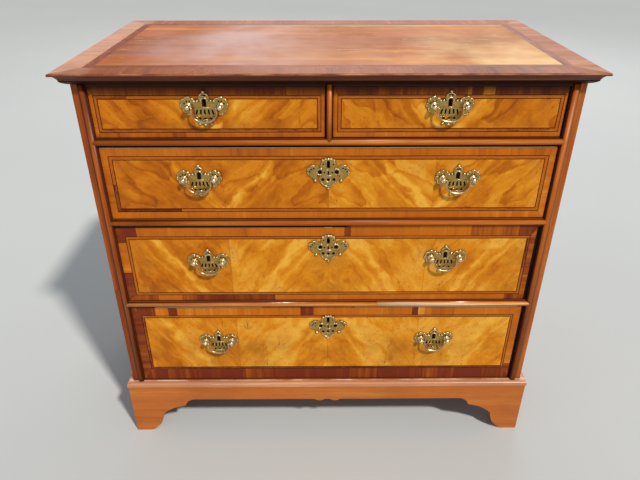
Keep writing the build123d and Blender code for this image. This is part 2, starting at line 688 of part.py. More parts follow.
def hex_nut(x, z):
    with BuildPart() as nut:
        with BuildSketch(facing_front(x, FRONT_BACK + NUT_THICK, z)):
            RegularPolygon(NUT_RADIUS, 6)
            Circle(SHANK_RADIUS, mode=Mode.SUBTRACT)
        extrude(amount=NUT_THICK)
    return nut


def make_brasses(name, handles):
    """Each drawer's plates, and its posts with their nuts."""
    save(f"{name}_handle_plates", *[handle_plate(x, z) for x, z in handles])
    posts = []
    for x, z in handles:
        for side in (-1, 1):
            post = handle_post(x + side * POST_SPACING / 2, z)
            with BuildPart() as drilled:
                add(post.part)
                eye = Plane(origin=(x, BAIL_Y, z), z_dir=(side, 0, 0))
                with BuildSketch(eye):
                    Circle(BAIL_RADIUS + BAIL_CLEARANCE)
                extrude(amount=POST_SPACING / 2 + 1, mode=Mode.SUBTRACT)
            posts.append(drilled)
            posts.append(hex_nut(x + side * POST_SPACING / 2, z))
    save(f"{name}_handle_posts", *posts)


def make_bail(name, x, z):
    """A swan-neck bail: pins out into the posts, arms down, and a spindle-shaped grip."""
    pin_end, arm, elbow = POST_SPACING / 2, 22.5, -0.58 * BAIL_DROP
    grip_z = z - BAIL_DROP
    with BuildPart() as bail:
        with BuildLine(facing_front(x, BAIL_Y, z)) as path:
            FilletPolyline((-pin_end, 0), (-arm, 0), (-arm, elbow), (-GRIP_HALF, -BAIL_DROP),
                           (GRIP_HALF, -BAIL_DROP), (arm, elbow), (arm, 0), (pin_end, 0),
                           radius=(3.0, 10.0, 8.0, 8.0, 10.0, 3.0))
        with BuildSketch(Plane(origin=path.line @ 0, z_dir=path.line % 0)):
            Circle(BAIL_RADIUS)
        sweep()
        with BuildSketch(Plane.XY.offset(grip_z)):
            with BuildLine():
                ThreePointArc((x - GRIP_HALF, BAIL_Y), (x, BAIL_Y - GRIP_RADIUS), (x + GRIP_HALF, BAIL_Y))
                Line((x + GRIP_HALF, BAIL_Y), (x - GRIP_HALF, BAIL_Y))
            make_face()
        revolve(axis=Axis((x, BAIL_Y, grip_z), (1, 0, 0)))
    save(name, bail)


def make_escutcheon(name, x, z):
    """A pierced keyhole plate: domed shield, lobed wings, scrolls and a pointed drop."""
    with BuildPart() as plate:
        with BuildSketch(facing_front(x, FACE, z)):
            with Locations((0, 15)):
                Circle(16.0)
            with Locations((0, 2)):
                Rectangle(33, 26)
            with Locations((0, -14)):
                Ellipse(18.5, 14)
            mirrored_circles(SHIELD_PAIRS)
            polygon(SHIELD_DROP)
            mirrored_circles(SHIELD_HOLES, mode=Mode.SUBTRACT)
            with Locations((0, ESCUTCHEON_KEYHOLE_RISE)):
                SlotOverall(16, 6, rotation=90, mode=Mode.SUBTRACT)
            with Locations((0, -2)):
                SlotOverall(10, 3, rotation=90, mode=Mode.SUBTRACT)
            with Locations((0, -15)):
                Circle(3.0, mode=Mode.SUBTRACT)
            with Locations((0, -29)):
                Circle(1.4, mode=Mode.SUBTRACT)
        extrude(amount=PLATE_THICK)
    save(name, plate)


# ---- The whole chest ---------------------------------------------------------------------------

def make_carcass():
    make_side("left_side", -1)
    make_side("right_side", 1)
    make_top_board()
    make_mitred_set("top_moulding", top_moulding_outline)
    make_case_bottom()
    make_rails()
    make_dustboards()
    make_divider()
    make_half_rounds()
    make_back_boards()
    make_mitred_set("base_moulding", base_moulding_outline)
    make_front_bracket()
    save("side_brackets", side_bracket(-1), side_bracket(1), back_bracket(-1), back_bracket(1))
    make_foot_blocks()


def make_drawers():
    for name, x, width, low, high, handles, escutcheon in DRAWERS:
        lock_x, lock_z = lock_place(handles, escutcheon)
        make_front(name, x, width, low, high, handles, (lock_x, lock_z))
        make_linings(name, x, width, low, high)
        make_drawer_bottom(name, x, width, low)
        make_lock_case(name, lock_x, lock_z, high)
        make_lock_bolt(name, lock_x, high)
        make_brasses(name, handles)
        for side, (handle_x, handle_z) in zip(("left", "right"), handles):
            bail_name = f"{name}_bail" if len(handles) == 1 else f"{name}_{side}_bail"
            make_bail(bail_name, handle_x, handle_z)
        if escutcheon:
            make_escutcheon(f"{name}_escutcheon", *escutcheon)


make_carcass()
make_drawers()
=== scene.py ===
import json
import math
import random

import bmesh
import bpy
from mathutils import Matrix, Vector
from mathutils.geometry import tessellate_polygon

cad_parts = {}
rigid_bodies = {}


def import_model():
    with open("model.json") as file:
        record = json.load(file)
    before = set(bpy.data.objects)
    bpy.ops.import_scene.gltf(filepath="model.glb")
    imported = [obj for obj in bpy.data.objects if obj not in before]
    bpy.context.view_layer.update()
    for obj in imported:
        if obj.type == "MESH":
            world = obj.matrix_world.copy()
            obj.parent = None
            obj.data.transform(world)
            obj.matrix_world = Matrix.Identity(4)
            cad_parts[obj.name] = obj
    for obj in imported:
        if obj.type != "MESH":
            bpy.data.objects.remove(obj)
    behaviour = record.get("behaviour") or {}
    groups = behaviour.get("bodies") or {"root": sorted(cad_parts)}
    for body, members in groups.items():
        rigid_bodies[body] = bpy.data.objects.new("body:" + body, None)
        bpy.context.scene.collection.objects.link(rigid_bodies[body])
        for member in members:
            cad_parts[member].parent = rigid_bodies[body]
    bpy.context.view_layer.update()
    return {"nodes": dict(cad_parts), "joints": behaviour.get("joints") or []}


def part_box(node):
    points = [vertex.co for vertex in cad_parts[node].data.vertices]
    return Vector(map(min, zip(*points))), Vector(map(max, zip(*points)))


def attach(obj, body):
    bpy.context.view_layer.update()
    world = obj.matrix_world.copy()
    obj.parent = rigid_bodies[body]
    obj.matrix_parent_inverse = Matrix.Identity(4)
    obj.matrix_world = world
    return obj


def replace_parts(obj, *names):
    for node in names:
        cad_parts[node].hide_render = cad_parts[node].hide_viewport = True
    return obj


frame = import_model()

# Walnut chest of drawers. Metres, +Z up, the drawers face -Y.

MM = 0.001
VENEER = 0.5 * MM           # thickness of the veneers laid on fronts, stiles and top
LINE = 1.4 * MM             # width of a dark stringing line
EDGE_STRIP = 1.3 * MM       # height of the painted shadow strip under a front and of the painted highlight along its top
SWELL = 0.05 * MM           # how far such strips stand out from the crossband
BEAD_WIDTH = 14 * MM        # width of a half-round moulding on a stile or a rail
POST_HALF = 30.25 * MM      # from the middle of a handle to its posts
ESCUTCHEON_DROP = 38.5 * MM  # from an escutcheon's relief centre to its lowest point
PIERCING_LIMIT = 30 * MM    # keyholes and piercings are smaller, outlines of plates are larger

# Usual length of the veneer pieces in a band, in metres.
CROSSBAND_LENGTH = 0.085
FEATHER_LENGTH = 0.16
TOP_BAND_LENGTH = 0.13
FACING_LENGTH = 0.35

DRAWERS = ("short_left", "short_right", "upper_long", "middle_long", "lower_long")


# ---- Node material helpers ---------------------------------------------------------------------

class Nodes:
    """A short way to write a material's node tree."""

    def __init__(self, name):
        self.material = bpy.data.materials.new(name)
        self.material.use_nodes = True
        self.tree = self.material.node_tree
        self.tree.nodes.clear()
        self.output = self.tree.nodes.new("ShaderNodeOutputMaterial")
        self.shader = self.tree.nodes.new("ShaderNodeBsdfPrincipled")
        self.tree.links.new(self.shader.outputs[0], self.output.inputs[0])

    def link(self, value, socket):
        """Link an output to a socket, or set a constant directly on it."""
        if isinstance(value, bpy.types.NodeSocket):
            self.tree.links.new(value, socket)
        else:
            socket.default_value = value

    def set(self, name, value):
        self.link(value, self.shader.inputs[name])

    def node(self, kind, values, output=0, **settings):
        """A new node with its settings and input values; gives back one output, or all for None."""
        node = self.tree.nodes.new("ShaderNode" + kind)
        for name, setting in settings.items():
            setattr(node, name, setting)
        for name, value in values.items():
            self.link(value, node.inputs[name])
        return node.outputs if output is None else node.outputs[output]

    def math(self, operation, a, b=0.0, clamp=False):
        return self.node("Math", {0: a, 1: b}, operation=operation, use_clamp=clamp)

    def add(self, a, b, clamp=False):
        return self.math("ADD", a, b, clamp)

    def sub(self, a, b):
        return self.math("SUBTRACT", a, b)

    def mul(self, a, b):
        return self.math("MULTIPLY", a, b)

    def absolute(self, a):
        return self.math("ABSOLUTE", a)

    def vector(self, operation, a, b):
        return self.node("VectorMath", {0: a, 1: b}, operation=operation)

    def attribute(self, name, output="Vector"):
        return self.node("Attribute", {}, output, attribute_name=name)

    def object_coords(self):
        return self.node("TexCoord", {}, "Object")

    def mapping(self, coords, scale=(1, 1, 1), rotation=(0, 0, 0), location=(0, 0, 0)):
        return self.node("Mapping", {"Vector": coords, "Scale": scale, "Rotation": rotation,
                                     "Location": location})

    def noise(self, coords, scale, detail=4.0, roughness=0.55, output="Fac", **placing):
        """Noise on scaled and placed coordinates."""
        return self.node("TexNoise", {"Vector": self.mapping(coords, scale, **placing), "Scale": 1.0,
                                      "Detail": detail, "Roughness": roughness}, output)

    def wobble(self, coords, scale, size, **placing):
        """A vector that wanders about zero, with its size along each axis."""
        swing = self.noise(coords, scale, detail=3.0, output="Color", **placing)
        return self.vector("MULTIPLY", self.vector("SUBTRACT", swing, (0.5, 0.5, 0.5)), size)

    def voronoi(self, coords, scale, **placing):
        return self.node("TexVoronoi", {"Vector": self.mapping(coords, scale, **placing), "Scale": 1.0},
                         "Distance")

    def ramp(self, value, stops, interpolation="EASE"):
        node = self.tree.nodes.new("ShaderNodeValToRGB")
        node.color_ramp.interpolation = interpolation
        elements = node.color_ramp.elements
        while len(elements) < len(stops):
            elements.new(0.5)
        for element, (position, colour) in zip(elements, stops):
            element.position = position
            element.color = (*colour, 1)
        self.link(value, node.inputs[0])
        return node.outputs[0]

    def range(self, value, low, high, to_low=0.0, to_high=1.0):
        """Map low..high to to_low..to_high, clamped."""
        return self.node("MapRange", dict(enumerate((value, low, high, to_low, to_high))), clamp=True)

    def mix(self, factor, a, b):
        """Mix two colours, each an output or a linear colour."""
        a, b = ((*colour, 1) if isinstance(colour, tuple) else colour for colour in (a, b))
        return self.node("Mix", {0: factor, 6: a, 7: b}, 2, data_type="RGBA")

    def combine(self, x, y, z):
        return self.node("CombineXYZ", {0: x, 1: y, 2: z})

    def separate(self, coords):
        return self.node("SeparateXYZ", {0: coords}, None)

    def occlusion(self, distance):
        return self.node("AmbientOcclusion", {"Distance": distance}, "AO", samples=6)

    def bump(self, height, distance):
        return self.node("Bump", {"Strength": 0.5, "Distance": distance, "Height": height})


def srgb(red, green, blue):
    """A linear colour from 0 to 255 display values."""
    def linear(value):
        value /= 255
        return value / 12.92 if value <= 0.04045 else ((value + 0.055) / 1.055) ** 2.4
    return tuple(linear(value) for value in (red, green, blue))


# ---- Wood --------------------------------------------------------------------------------------

def grain_coords(n, grain):
    """Coordinates in metres whose x runs along the grain, which is a piece's own or follows the object."""
    if grain == "own":
        return n.attribute("grain")
    x, y, z = n.separate(n.object_coords())
    if grain != "round case":
        return n.combine(*{"x": (x, y, z), "y": (y, x, z), "z": (z, x, y)}[grain])
    past_side = n.sub(n.absolute(x), CASE_HALF)
    is_side = n.math("GREATER_THAN", past_side, n.sub(CASE_FRONT, y))
    is_front = n.sub(1.0, is_side)
    length = n.add(n.mul(is_front, x), n.mul(is_side, y))
    return n.combine(length, n.add(n.mul(is_front, y), n.mul(is_side, x)), z)


def shaded(colour, share):
    return tuple(part * share for part in colour)


def wood(name, colours, grain="own", rings=26.0, stretch=0.055, waviness=0.35, pores=1.0, contrast=1.0,
         gloss=(0.3, 0.5), seed=0.0, tone=False, wear=None, grime=0.25, shine=0.3, corners=0.0):
    """Straight-grained wood with a dark, a middle and a light colour, and perhaps a paler one for worn places
    and painted highlights.
    """
    n = Nodes(name)
    shades = [srgb(*colour) for colour in colours]
    dark, middle, light = shades[:3]
    coords = n.vector("ADD", grain_coords(n, grain), (seed * 3.1, seed * 1.7, seed * 2.3))
    bend = n.wobble(coords, (2.2, 7.0, 7.0), (0.0, 0.06 * waviness, 0.06 * waviness))
    bent = n.vector("ADD", coords, bend)
    broad = n.noise(bent, (1.6, rings * 0.5, rings * 0.5), detail=3.0, roughness=0.6)
    figure = n.noise(bent, (rings * stretch, rings * 3.0, rings * 3.0), detail=6.0, roughness=0.62)
    fine = n.noise(bent, (14.0, 420.0, 420.0), detail=3.0, roughness=0.7)
    value = n.add(n.mul(broad, 0.45), n.mul(figure, 0.55))
    value = n.add(n.mul(n.sub(value, 0.5), 1.7 * contrast), 0.5)
    value = n.add(value, n.mul(n.sub(fine, 0.5), 0.3))
    if tone:
        value = n.add(value, n.attribute("tone", "Fac"))
    colour = n.ramp(value, ((0.04, dark), (0.5, middle), (0.88, light), (1.0, shades[-1])))
    pore = n.noise(bent, (45.0, 900.0, 900.0), detail=2.0, roughness=0.5)
    pore_mask = n.range(pore, 0.62, 0.74, 0.0, 0.45 * pores)
    colour = n.mix(pore_mask, colour, shaded(dark, 0.35))
    cloud = n.noise(coords, (5, 7, 7), detail=3.0)
    colour = n.mix(n.range(cloud, 0.45, 0.75, 0.0, grime), colour, shaded(dark, 0.45))
    # Painted shade: darker where ambient occlusion finds corners and recesses, within the corners reach.
    if corners:
        colour = n.mix(n.range(n.occlusion(corners), 0.3, 0.92, 0.75, 0.0), colour, shaded(dark, 0.2))
    roughness = n.range(n.add(n.mul(cloud, 0.6), n.mul(fine, 0.4)), 0.3, 0.7, *gloss)
    if wear is not None:
        mask, pale = wear(n, coords, cloud)
        colour = n.mix(mask, colour, pale)
        roughness = n.add(roughness, n.mul(mask, 0.2), clamp=True)
    n.set("Base Color", colour)
    n.set("Roughness", roughness)
    n.set("Specular IOR Level", shine)
    n.set("Normal", n.bump(n.sub(n.mul(fine, 0.4), n.mul(pore_mask, 1.2)), 0.25 * MM))
    return n.material


def scuffs(strength, pale):
    """Fine whitish scratches, gathered in patches."""
    def wear(n, coords, cloud):
        scuff = n.noise(coords, (22, 110, 30), rotation=(0, 0, 0.12), detail=5.0, roughness=0.78)
        mask = n.mul(n.range(scuff, 0.56, 0.70), n.range(cloud, 0.44, 0.60))
        return n.mul(mask, strength), pale
    return wear


def painted_shadow_above(level, strength):
    """Painted shadow under the top: nearly black above a height."""
    def wear(n, coords, cloud):
        height = n.separate(n.object_coords())[2]
        return n.range(height, level, level + 0.012, 0.0, strength), srgb(34, 12, 8)
    return wear


def scuffs_and_painted_sheen(n, coords, cloud):
    """Painted sheen: a pale reflection across the left of the top, a warm glare at the front right, and
    whitish scratches.
    """
    scuff, pale = scuffs(0.85, srgb(250, 236, 220))(n, coords, cloud)
    x, y, _ = n.separate(n.object_coords())
    bloom = n.noise(n.object_coords(), (5.5, 4, 5), detail=3.0, roughness=0.6)
    streak = n.range(n.absolute(n.add(x, 0.20)), 0.02, 0.24, 0.62, 0.08)
    left = n.mul(n.range(bloom, 0.26, 0.60), streak)
    front = n.range(y, -0.10, 0.10, 0.66, 0.30)
    right = n.mul(n.range(bloom, 0.30, 0.58), n.mul(n.range(x, 0.0, 0.30, 0.06, 1.0), front))
    mask = n.math("MAXIMUM", n.math("MAXIMUM", left, right), scuff)
    # Painted reflection and glare: lilac on the left, warm at the front right.
    colour = n.mix(n.range(x, -0.15, 0.25), srgb(216, 192, 190), srgb(250, 216, 162))
    return mask, n.mix(n.range(scuff, 0.1, 0.3), colour, pale)


def scuffs_and_painted_end_sheen(n, coords, cloud):
    """Whitish scratches, and a painted pale sheen on the band at the left end of the top."""
    scuff, pale = scuffs(0.35, SCRATCH)(n, coords, cloud)
    x = n.separate(n.object_coords())[0]
    # Painted sheen: a pale bloom at the left end.
    bloom = n.noise(n.object_coords(), (9, 6, 5), detail=3.0, roughness=0.6)
    end = n.mul(n.range(bloom, 0.28, 0.58), n.range(x, -0.450, -0.425, 0.30, 0.0))
    return n.math("MAXIMUM", end, scuff), pale


def edge_wear(axis, edge, reach, strength, pale):
    """Rubbed patches within reach of a corner that lies at edge along an axis of the object."""
    def wear(n, coords, cloud):
        place = n.separate(n.object_coords())[axis]
        near = n.range(n.absolute(n.sub(place, edge)), reach * 0.3, reach, 1.0, 0.0)
        patch = n.noise(n.object_coords(), (14, 40, 40), detail=4.0, roughness=0.65)
        return n.mul(n.mul(near, n.range(patch, 0.42, 0.62)), strength), pale
    return wear


def burr_walnut(name, seed, ray, warmth=0.0):
    """Figured walnut for book-matched leaves; its coordinates run out from the seam and up the panel.

    ray is the slanting bright ray: its distance from the seam at the bottom, its lean and its half width.
    A warmer burr is redder, with darker flames.
    """
    n = Nodes(name)
    coords = n.attribute("grain")
    swirl = n.wobble(coords, (10, 10, 7), (0.045, 0.045, 0.0), location=(seed, 0, 0))
    eddy = n.wobble(coords, (38, 38, 28), (0.012, 0.012, 0.0), location=(0, seed, 0))
    warped = n.vector("ADD", n.vector("ADD", coords, swirl), eddy)
    offset, lean, half_width = ray
    turn = math.atan2(1.0, lean)
    turned = n.mapping(warped, rotation=(0, 0, -turn))
    streak = n.noise(turned, (8, 34, 8), location=(seed, seed, 0), detail=5.0, roughness=0.62)
    figure = n.noise(turned, (26, 120, 20), location=(0, 0, seed), detail=5.0, roughness=0.68)
    cloud = n.noise(warped, (15, 15, 5), location=(seed, 2, 1), detail=5.0, roughness=0.62)
    value = n.add(n.mul(streak, 0.26), n.mul(figure, 0.18))
    value = n.add(value, n.mul(cloud, 0.56))
    value = n.add(n.mul(n.sub(value, 0.5), 2.3), 0.46)
    across, up, _ = n.separate(warped)
    beside = n.sub(across, n.add(n.mul(up, lean), offset))
    bright = n.range(n.absolute(beside), 0.0, half_width * 1.5, 1.0, 0.0)
    fade = n.noise(coords, (9, 22, 5), location=(seed, 0, 7), detail=2.0)
    value = n.add(value, n.mul(n.mul(bright, n.range(fade, 0.26, 0.56)), 0.50))
    echo = n.range(n.absolute(n.sub(beside, half_width * 2.6)), 0.0, half_width * 0.6, 1.0, 0.0)
    value = n.add(value, n.mul(echo, 0.14))
    flow = n.noise(turned, (7, 21, 6), location=(seed, 4, 0), detail=2.0, roughness=0.4)
    flame = n.mul(n.range(flow, 0.50, 0.62, 1.0, 0.0), n.range(flow, 0.488, 0.50))
    value = n.sub(value, n.mul(flame, 0.10 + 0.5 * warmth))
    value = n.add(value, 0.08)
    value = n.add(value, n.attribute("tone", "Fac"))
    colour = n.ramp(value, ((0.0, srgb(112, 48, 6)), (0.24, srgb(154, 76, 4)), (0.5, srgb(188, 104, 5)),
                            (0.76, srgb(214, 136, 20)), (1.0, srgb(232, 170, 58))), "LINEAR")
    olive = n.noise(coords, (8, 11, 5), location=(3, seed, 1), detail=3.0)
    colour = n.mix(n.range(olive, 0.5, 0.72, 0.0, 0.55), colour, srgb(150, 96, 30))
    colour = n.mix(n.range(cloud, 0.52, 0.72, 0.0, 0.35 + warmth), colour, srgb(188, 88, 18))
    fine = n.noise(turned, (90, 620, 60), detail=3.0, roughness=0.7)
    colour = n.mix(n.range(fine, 0.55, 0.8, 0.0, 0.4), colour, srgb(116, 54, 14))
    knot = n.voronoi(warped, (26, 26, 20), location=(seed, 1, 0))
    where = n.noise(coords, (12, 12, 9), location=(seed, 5, 3), detail=2.0)
    knot_mask = n.mul(n.range(knot, 0.04, 0.22, 1.0, 0.0), n.range(where, 0.52, 0.66))
    colour = n.mix(n.mul(knot_mask, 0.6), colour, srgb(104, 46, 12))
    speck = n.voronoi(warped, (120, 120, 60), location=(0, seed, 2))
    speck_mask = n.mul(n.range(speck, 0.10, 0.28, 1.0, 0.0), n.range(cloud, 0.48, 0.60))
    colour = n.mix(n.mul(speck_mask, 0.45), colour, srgb(98, 44, 12))
    crack = n.noise(coords, (17, 3.4, 9), location=(0, seed, 4), detail=5.0, roughness=0.55)
    crack_mask = n.mul(n.range(n.absolute(n.sub(crack, 0.5)), 0.0, 0.0045, 1.0, 0.0),
                        n.range(where, 0.55, 0.62))
    colour = n.mix(n.mul(crack_mask, 0.7), colour, srgb(64, 26, 8))
    # Painted shade: darker round the brasses, beads and gaps, where ambient occlusion finds recesses.
    colour = n.mix(n.range(n.occlusion(0.006), 0.3, 0.95, 0.75, 0.0), colour, srgb(60, 22, 6))
    n.set("Base Color", colour)
    n.set("Roughness", n.range(n.add(cloud, fine), 0.7, 1.3, 0.3, 0.5))
    n.set("Specular IOR Level", 0.16)
    height = n.sub(fine, n.add(crack_mask, knot_mask))
    n.set("Normal", n.bump(height, 0.0002))
    return n.material


# ---- Metals ------------------------------------------------------------------------------------

def aged_brass(name, flat, ridge, worn):
    """Old cast brass: flat colour, worn ridges and heads, dark brown in the hollows."""
    n = Nodes(name)
    coords = n.object_coords()
    depth = n.separate(coords)[1]
    raised = n.range(depth, PLATE_FRONT - 0.8 * MM, PLATE_FRONT - 0.05 * MM, 1.0, 0.52)
    open_sky = n.occlusion(0.005)
    blotch = n.noise(coords, (150, 150, 150), detail=4.0, roughness=0.65)
    speck = n.noise(coords, (900, 900, 900), detail=2.0)
    wear = n.mul(n.range(open_sky, 0.3, 0.95), n.range(blotch, 0.25, 0.62, 0.6, 1.1))
    wear = n.mul(wear, raised)
    colour = n.ramp(wear, ((0.0, srgb(48, 28, 12)), (0.2, flat), (0.55, ridge), (1.0, worn)), "LINEAR")
    colour = n.mix(n.range(speck, 0.64, 0.75, 0.0, 0.4), colour, srgb(70, 56, 22))
    n.set("Base Color", colour)
    n.set("Metallic", n.range(wear, 0.0, 0.5, 0.6, 0.95))
    n.set("Roughness", n.range(n.add(blotch, n.mul(speck, 0.5)), 0.4, 1.1, 0.2, 0.42))
    n.set("Normal", n.bump(n.add(blotch, speck), 0.00015))
    return n.material


def lock_iron(name):
    n = Nodes(name)
    coords = n.object_coords()
    rust = n.noise(coords, (70, 70, 70), detail=5.0, roughness=0.65)
    grit = n.noise(coords, (700, 700, 700), detail=2.0)
    colour = n.ramp(rust, ((0.3, srgb(46, 43, 41)), (0.55, srgb(70, 62, 56)), (0.75, srgb(106, 66, 40))))
    n.set("Base Color", colour)
    n.set("Metallic", 0.75)
    n.set("Roughness", n.range(rust, 0.3, 0.8, 0.38, 0.75))
    n.set("Normal", n.bump(n.add(rust, grit), 0.0003))
    return n.material


def floor_material():
    n = Nodes("studio_floor")
    coords = n.object_coords()
    cloud = n.noise(coords, (0.8, 0.8, 0.8), detail=3.0)
    n.set("Base Color", n.ramp(cloud, ((0.3, (0.485, 0.505, 0.51)), (0.7, (0.50, 0.52, 0.52)))))
    n.set("Roughness", 0.85)
    return n.material


# ---- Mesh helpers ------------------------------------------------------------------------------

def in_scene(name, data):
    """A new object in the scene."""
    item = bpy.data.objects.new(name, data)
    bpy.context.scene.collection.objects.link(item)
    return item


def new_object(name, mesh, body, material):
    """A finished mesh as a piece that rides a body and takes the given material."""
    piece = in_scene(name, mesh)
    mesh.materials.clear()
    mesh.materials.append(material)
    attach(piece, body)
    return piece


def write_attributes(mesh, grain, tone):
    """Give every point its grain coordinates and its tone."""
    for name, kind, member, values in (
            ("grain", "FLOAT_VECTOR", "vector", [value for place in grain for value in place]),
            ("tone", "FLOAT", "value", tone)):
        if name in mesh.attributes:
            mesh.attributes.remove(mesh.attributes[name])
        mesh.attributes.new(name, kind, "POINT").data.foreach_set(member, values)


def closed_mesh(name, points, faces, round_sides=False):
    """A closed form with its normals outwards; the four-sided faces of a round form are smooth."""
    mesh = bpy.data.meshes.new(name)
    mesh.from_pydata(points, [], faces)
    bm = bmesh.new()
    bm.from_mesh(mesh)
    bmesh.ops.recalc_face_normals(bm, faces=bm.faces)
    for face in bm.faces:
        face.smooth = round_sides and len(face.verts) == 4
    bm.to_mesh(mesh)
    bm.free()
    return mesh


def evaluated_mesh(item):
    """The mesh of an object with its modifiers or curve settings applied."""
    bpy.context.view_layer.update()
    return bpy.data.meshes.new_from_object(item.evaluated_get(bpy.context.evaluated_depsgraph_get()))


def prism_sides(first, count):
    """Side faces between two loops of points that follow each other from an index."""
    return [[first + k, first + (k + 1) % count, first + count + (k + 1) % count, first + count + k]
            for k in range(count)]


class Leaves:
    """Thin closed slabs on one flat face, each with its own grain direction, seed and tone."""

    def __init__(self, place, thickness=VENEER):
        self.place = place
        self.thickness = thickness
        self.points, self.faces, self.grain, self.tone = [], [], [], []

    def add(self, outline, angle=0.0, origin=(0.0, 0.0), mirror=1.0, seed=0.0, tone=0.0, swell=0.0):
        """One slab; its outline runs anticlockwise as seen. The grain runs at angle to local x."""
        first, count = len(self.points), len(outline)
        cosine, sine = math.cos(angle), math.sin(angle)
        for height in (0.0, self.thickness + swell):
            for a, b in outline:
                self.points.append(self.place(a, b, height))
                u, v = (a - origin[0]) * mirror, b - origin[1]
                self.grain.append((u * cosine + v * sine, v * cosine - u * sine, seed))
                self.tone.append(tone)
        self.faces.append([first + count + i for i in range(count)])
        self.faces.append([first + i for i in reversed(range(count))])
        self.faces += prism_sides(first, count)

    def mesh(self, name):
        mesh = bpy.data.meshes.new(name)
        mesh.from_pydata(self.points, [], self.faces)
        write_attributes(mesh, self.grain, self.tone)
        mesh.update()
        return mesh

    def paint(self, mesh):
        """Write the attributes of a single front leaf again after it was cut."""
        (x0, _, z0), (x1, _, _) = self.points[0], self.points[1]
        (u0, v0, seed), (u1, _, _) = self.grain[0], self.grain[1]
        turn = (u1 - u0) / (x1 - x0)
        grain = [(u0 + (vertex.co.x - x0) * turn, v0 + vertex.co.z - z0, seed) for vertex in mesh.vertices]
        write_attributes(mesh, grain, [self.tone[0]] * len(mesh.vertices))

    def lay(self, name, body, material):
        """Make the slabs one piece."""
        new_object(name, self.mesh(name), body, material)


def on_front(y):
    """Local a, b and height to a face that looks to the front: a along +X, b up."""
    return lambda a, b, height: (a, y - height, b)


def on_top(z):
    """Local a, b and height to a face that looks up: a along +X, b along +Y."""
    return lambda a, b, height: (a, b, z + height)


def rectangle(left, low, right, high):
    return [(left, low), (right, low), (right, high), (left, high)]


def ring_strips(outer, inner):
    """Side name and outline of the four mitred strips between two rectangles."""
    (ol, ob, orr, ot), (il, ib, ir, it) = outer, inner
    return [("top", [(il, it), (ir, it), (orr, ot), (ol, ot)]),
            ("bottom", [(ol, ob), (orr, ob), (ir, ib), (il, ib)]),
            ("left", [(ol, ob), (il, ib), (il, it), (ol, ot)]),
            ("right", [(ir, ib), (orr, ob), (orr, ot), (ir, it)])]


def clip_band(outline, axis, low, high):
    """The part of a convex outline between two values of one coordinate."""
    for value, keep_above in ((low, True), (high, False)):
        clipped = []
        for p, q in zip(outline, outline[1:] + outline[:1]):
            p_in = (p[axis] >= value) == keep_above or p[axis] == value
            q_in = (q[axis] >= value) == keep_above or q[axis] == value
            if p_in:
                clipped.append(p)
            if p_in != q_in:
                share = (value - p[axis]) / (q[axis] - p[axis])
                clipped.append(tuple(p[k] + (q[k] - p[k]) * share for k in (0, 1)))
        outline = clipped
        if len(outline) < 3:
            return []
    return outline


def segments(low, high, length, rng, fixed=()):
    """Uneven lengths that fill a band, with joints at the fixed places."""
    shortest = 0.002
    stops = [low, *sorted(at for at in set(fixed) if low + shortest < at < high - shortest), high]
    edges = [low]
    for stop in stops[1:]:
        while edges[-1] < stop - length * 0.6:
            edges.append(edges[-1] + length * rng.uniform(0.65, 1.35))
        is_sliver = len(edges) > 1 and edges[-1] > stop - length * 0.25 and edges[-1] not in stops
        if edges[-1] > stop or is_sliver:
            edges[-1] = stop
        else:
            edges.append(stop)
    return [(a, b) for a, b in zip(edges, edges[1:]) if b - a > 1e-5]


def band_ring(leaves, ring, length, rng, tones, ends=lambda side: (), gap=0.12 * MM, angle=None):
    """Fill a ring with short lengths; tones(side, middle) shades each, ends(side) are fixed joints.

    The grain runs across the band, or at an angle to local x.
    """
    for side, outline in ring:
        axis = 0 if side in ("top", "bottom") else 1
        places = [p[axis] for p in outline]
        across = math.pi / 2 if axis == 0 else 0.0
        for start, end in segments(min(places), max(places), length, rng, ends(side)):
            piece = clip_band(outline, axis, start + gap, end - gap)
            if piece:
                shade = tones(side, (start + end) / 2)
                leaves.add(piece, angle=across if angle is None else angle, origin=(start, start),
                           seed=rng.uniform(0, 9), tone=shade + rng.uniform(-0.07, 0.07))


def inset(box, top, bottom, left, right):
    return (box[0] + left, box[1] + bottom, box[2] - right, box[3] - top)


def inset_all(box, width):
    return inset(box, width, width, width, width)


def herringbone(leaves, outer, half, inner, rng, tones, ends=lambda side: ()):
    """Fill a band with two rows of slanting lengths that meet along its middle, half a band in."""
    centre_line = inset_all(outer, half)
    for slant, ring in ((1, ring_strips(outer, centre_line)), (-1, ring_strips(centre_line, inner))):
        band_ring(leaves, ring, FEATHER_LENGTH, rng, tones, ends, gap=0.0, angle=slant * math.pi / 4)


# ---- Places from the frame ---------------------------------------------------------------------

CASE_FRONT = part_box("left_side")[0].y
CASE_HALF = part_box("right_side")[1].x
OPENING_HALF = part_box("right_side")[0].x
TOP_LOW, TOP_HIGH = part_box("top_board")
PLATE_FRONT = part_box("upper_long_handle_plates")[0].y


# ---- Materials ---------------------------------------------------------------------------------

SHADOW_LINE = 0.860           # height above which the front is painted dark as shadow under the top
SCRATCH = srgb(226, 200, 190)

BRASS = aged_brass("aged_brass", srgb(146, 112, 52), srgb(190, 158, 88), srgb(250, 230, 188))
# A darker copy of the brass for the bails.
BAIL_BRASS = aged_brass("darker_bail_brass", srgb(92, 62, 34), srgb(140, 104, 62), srgb(214, 182, 136))
IRON = lock_iron("lock_iron")
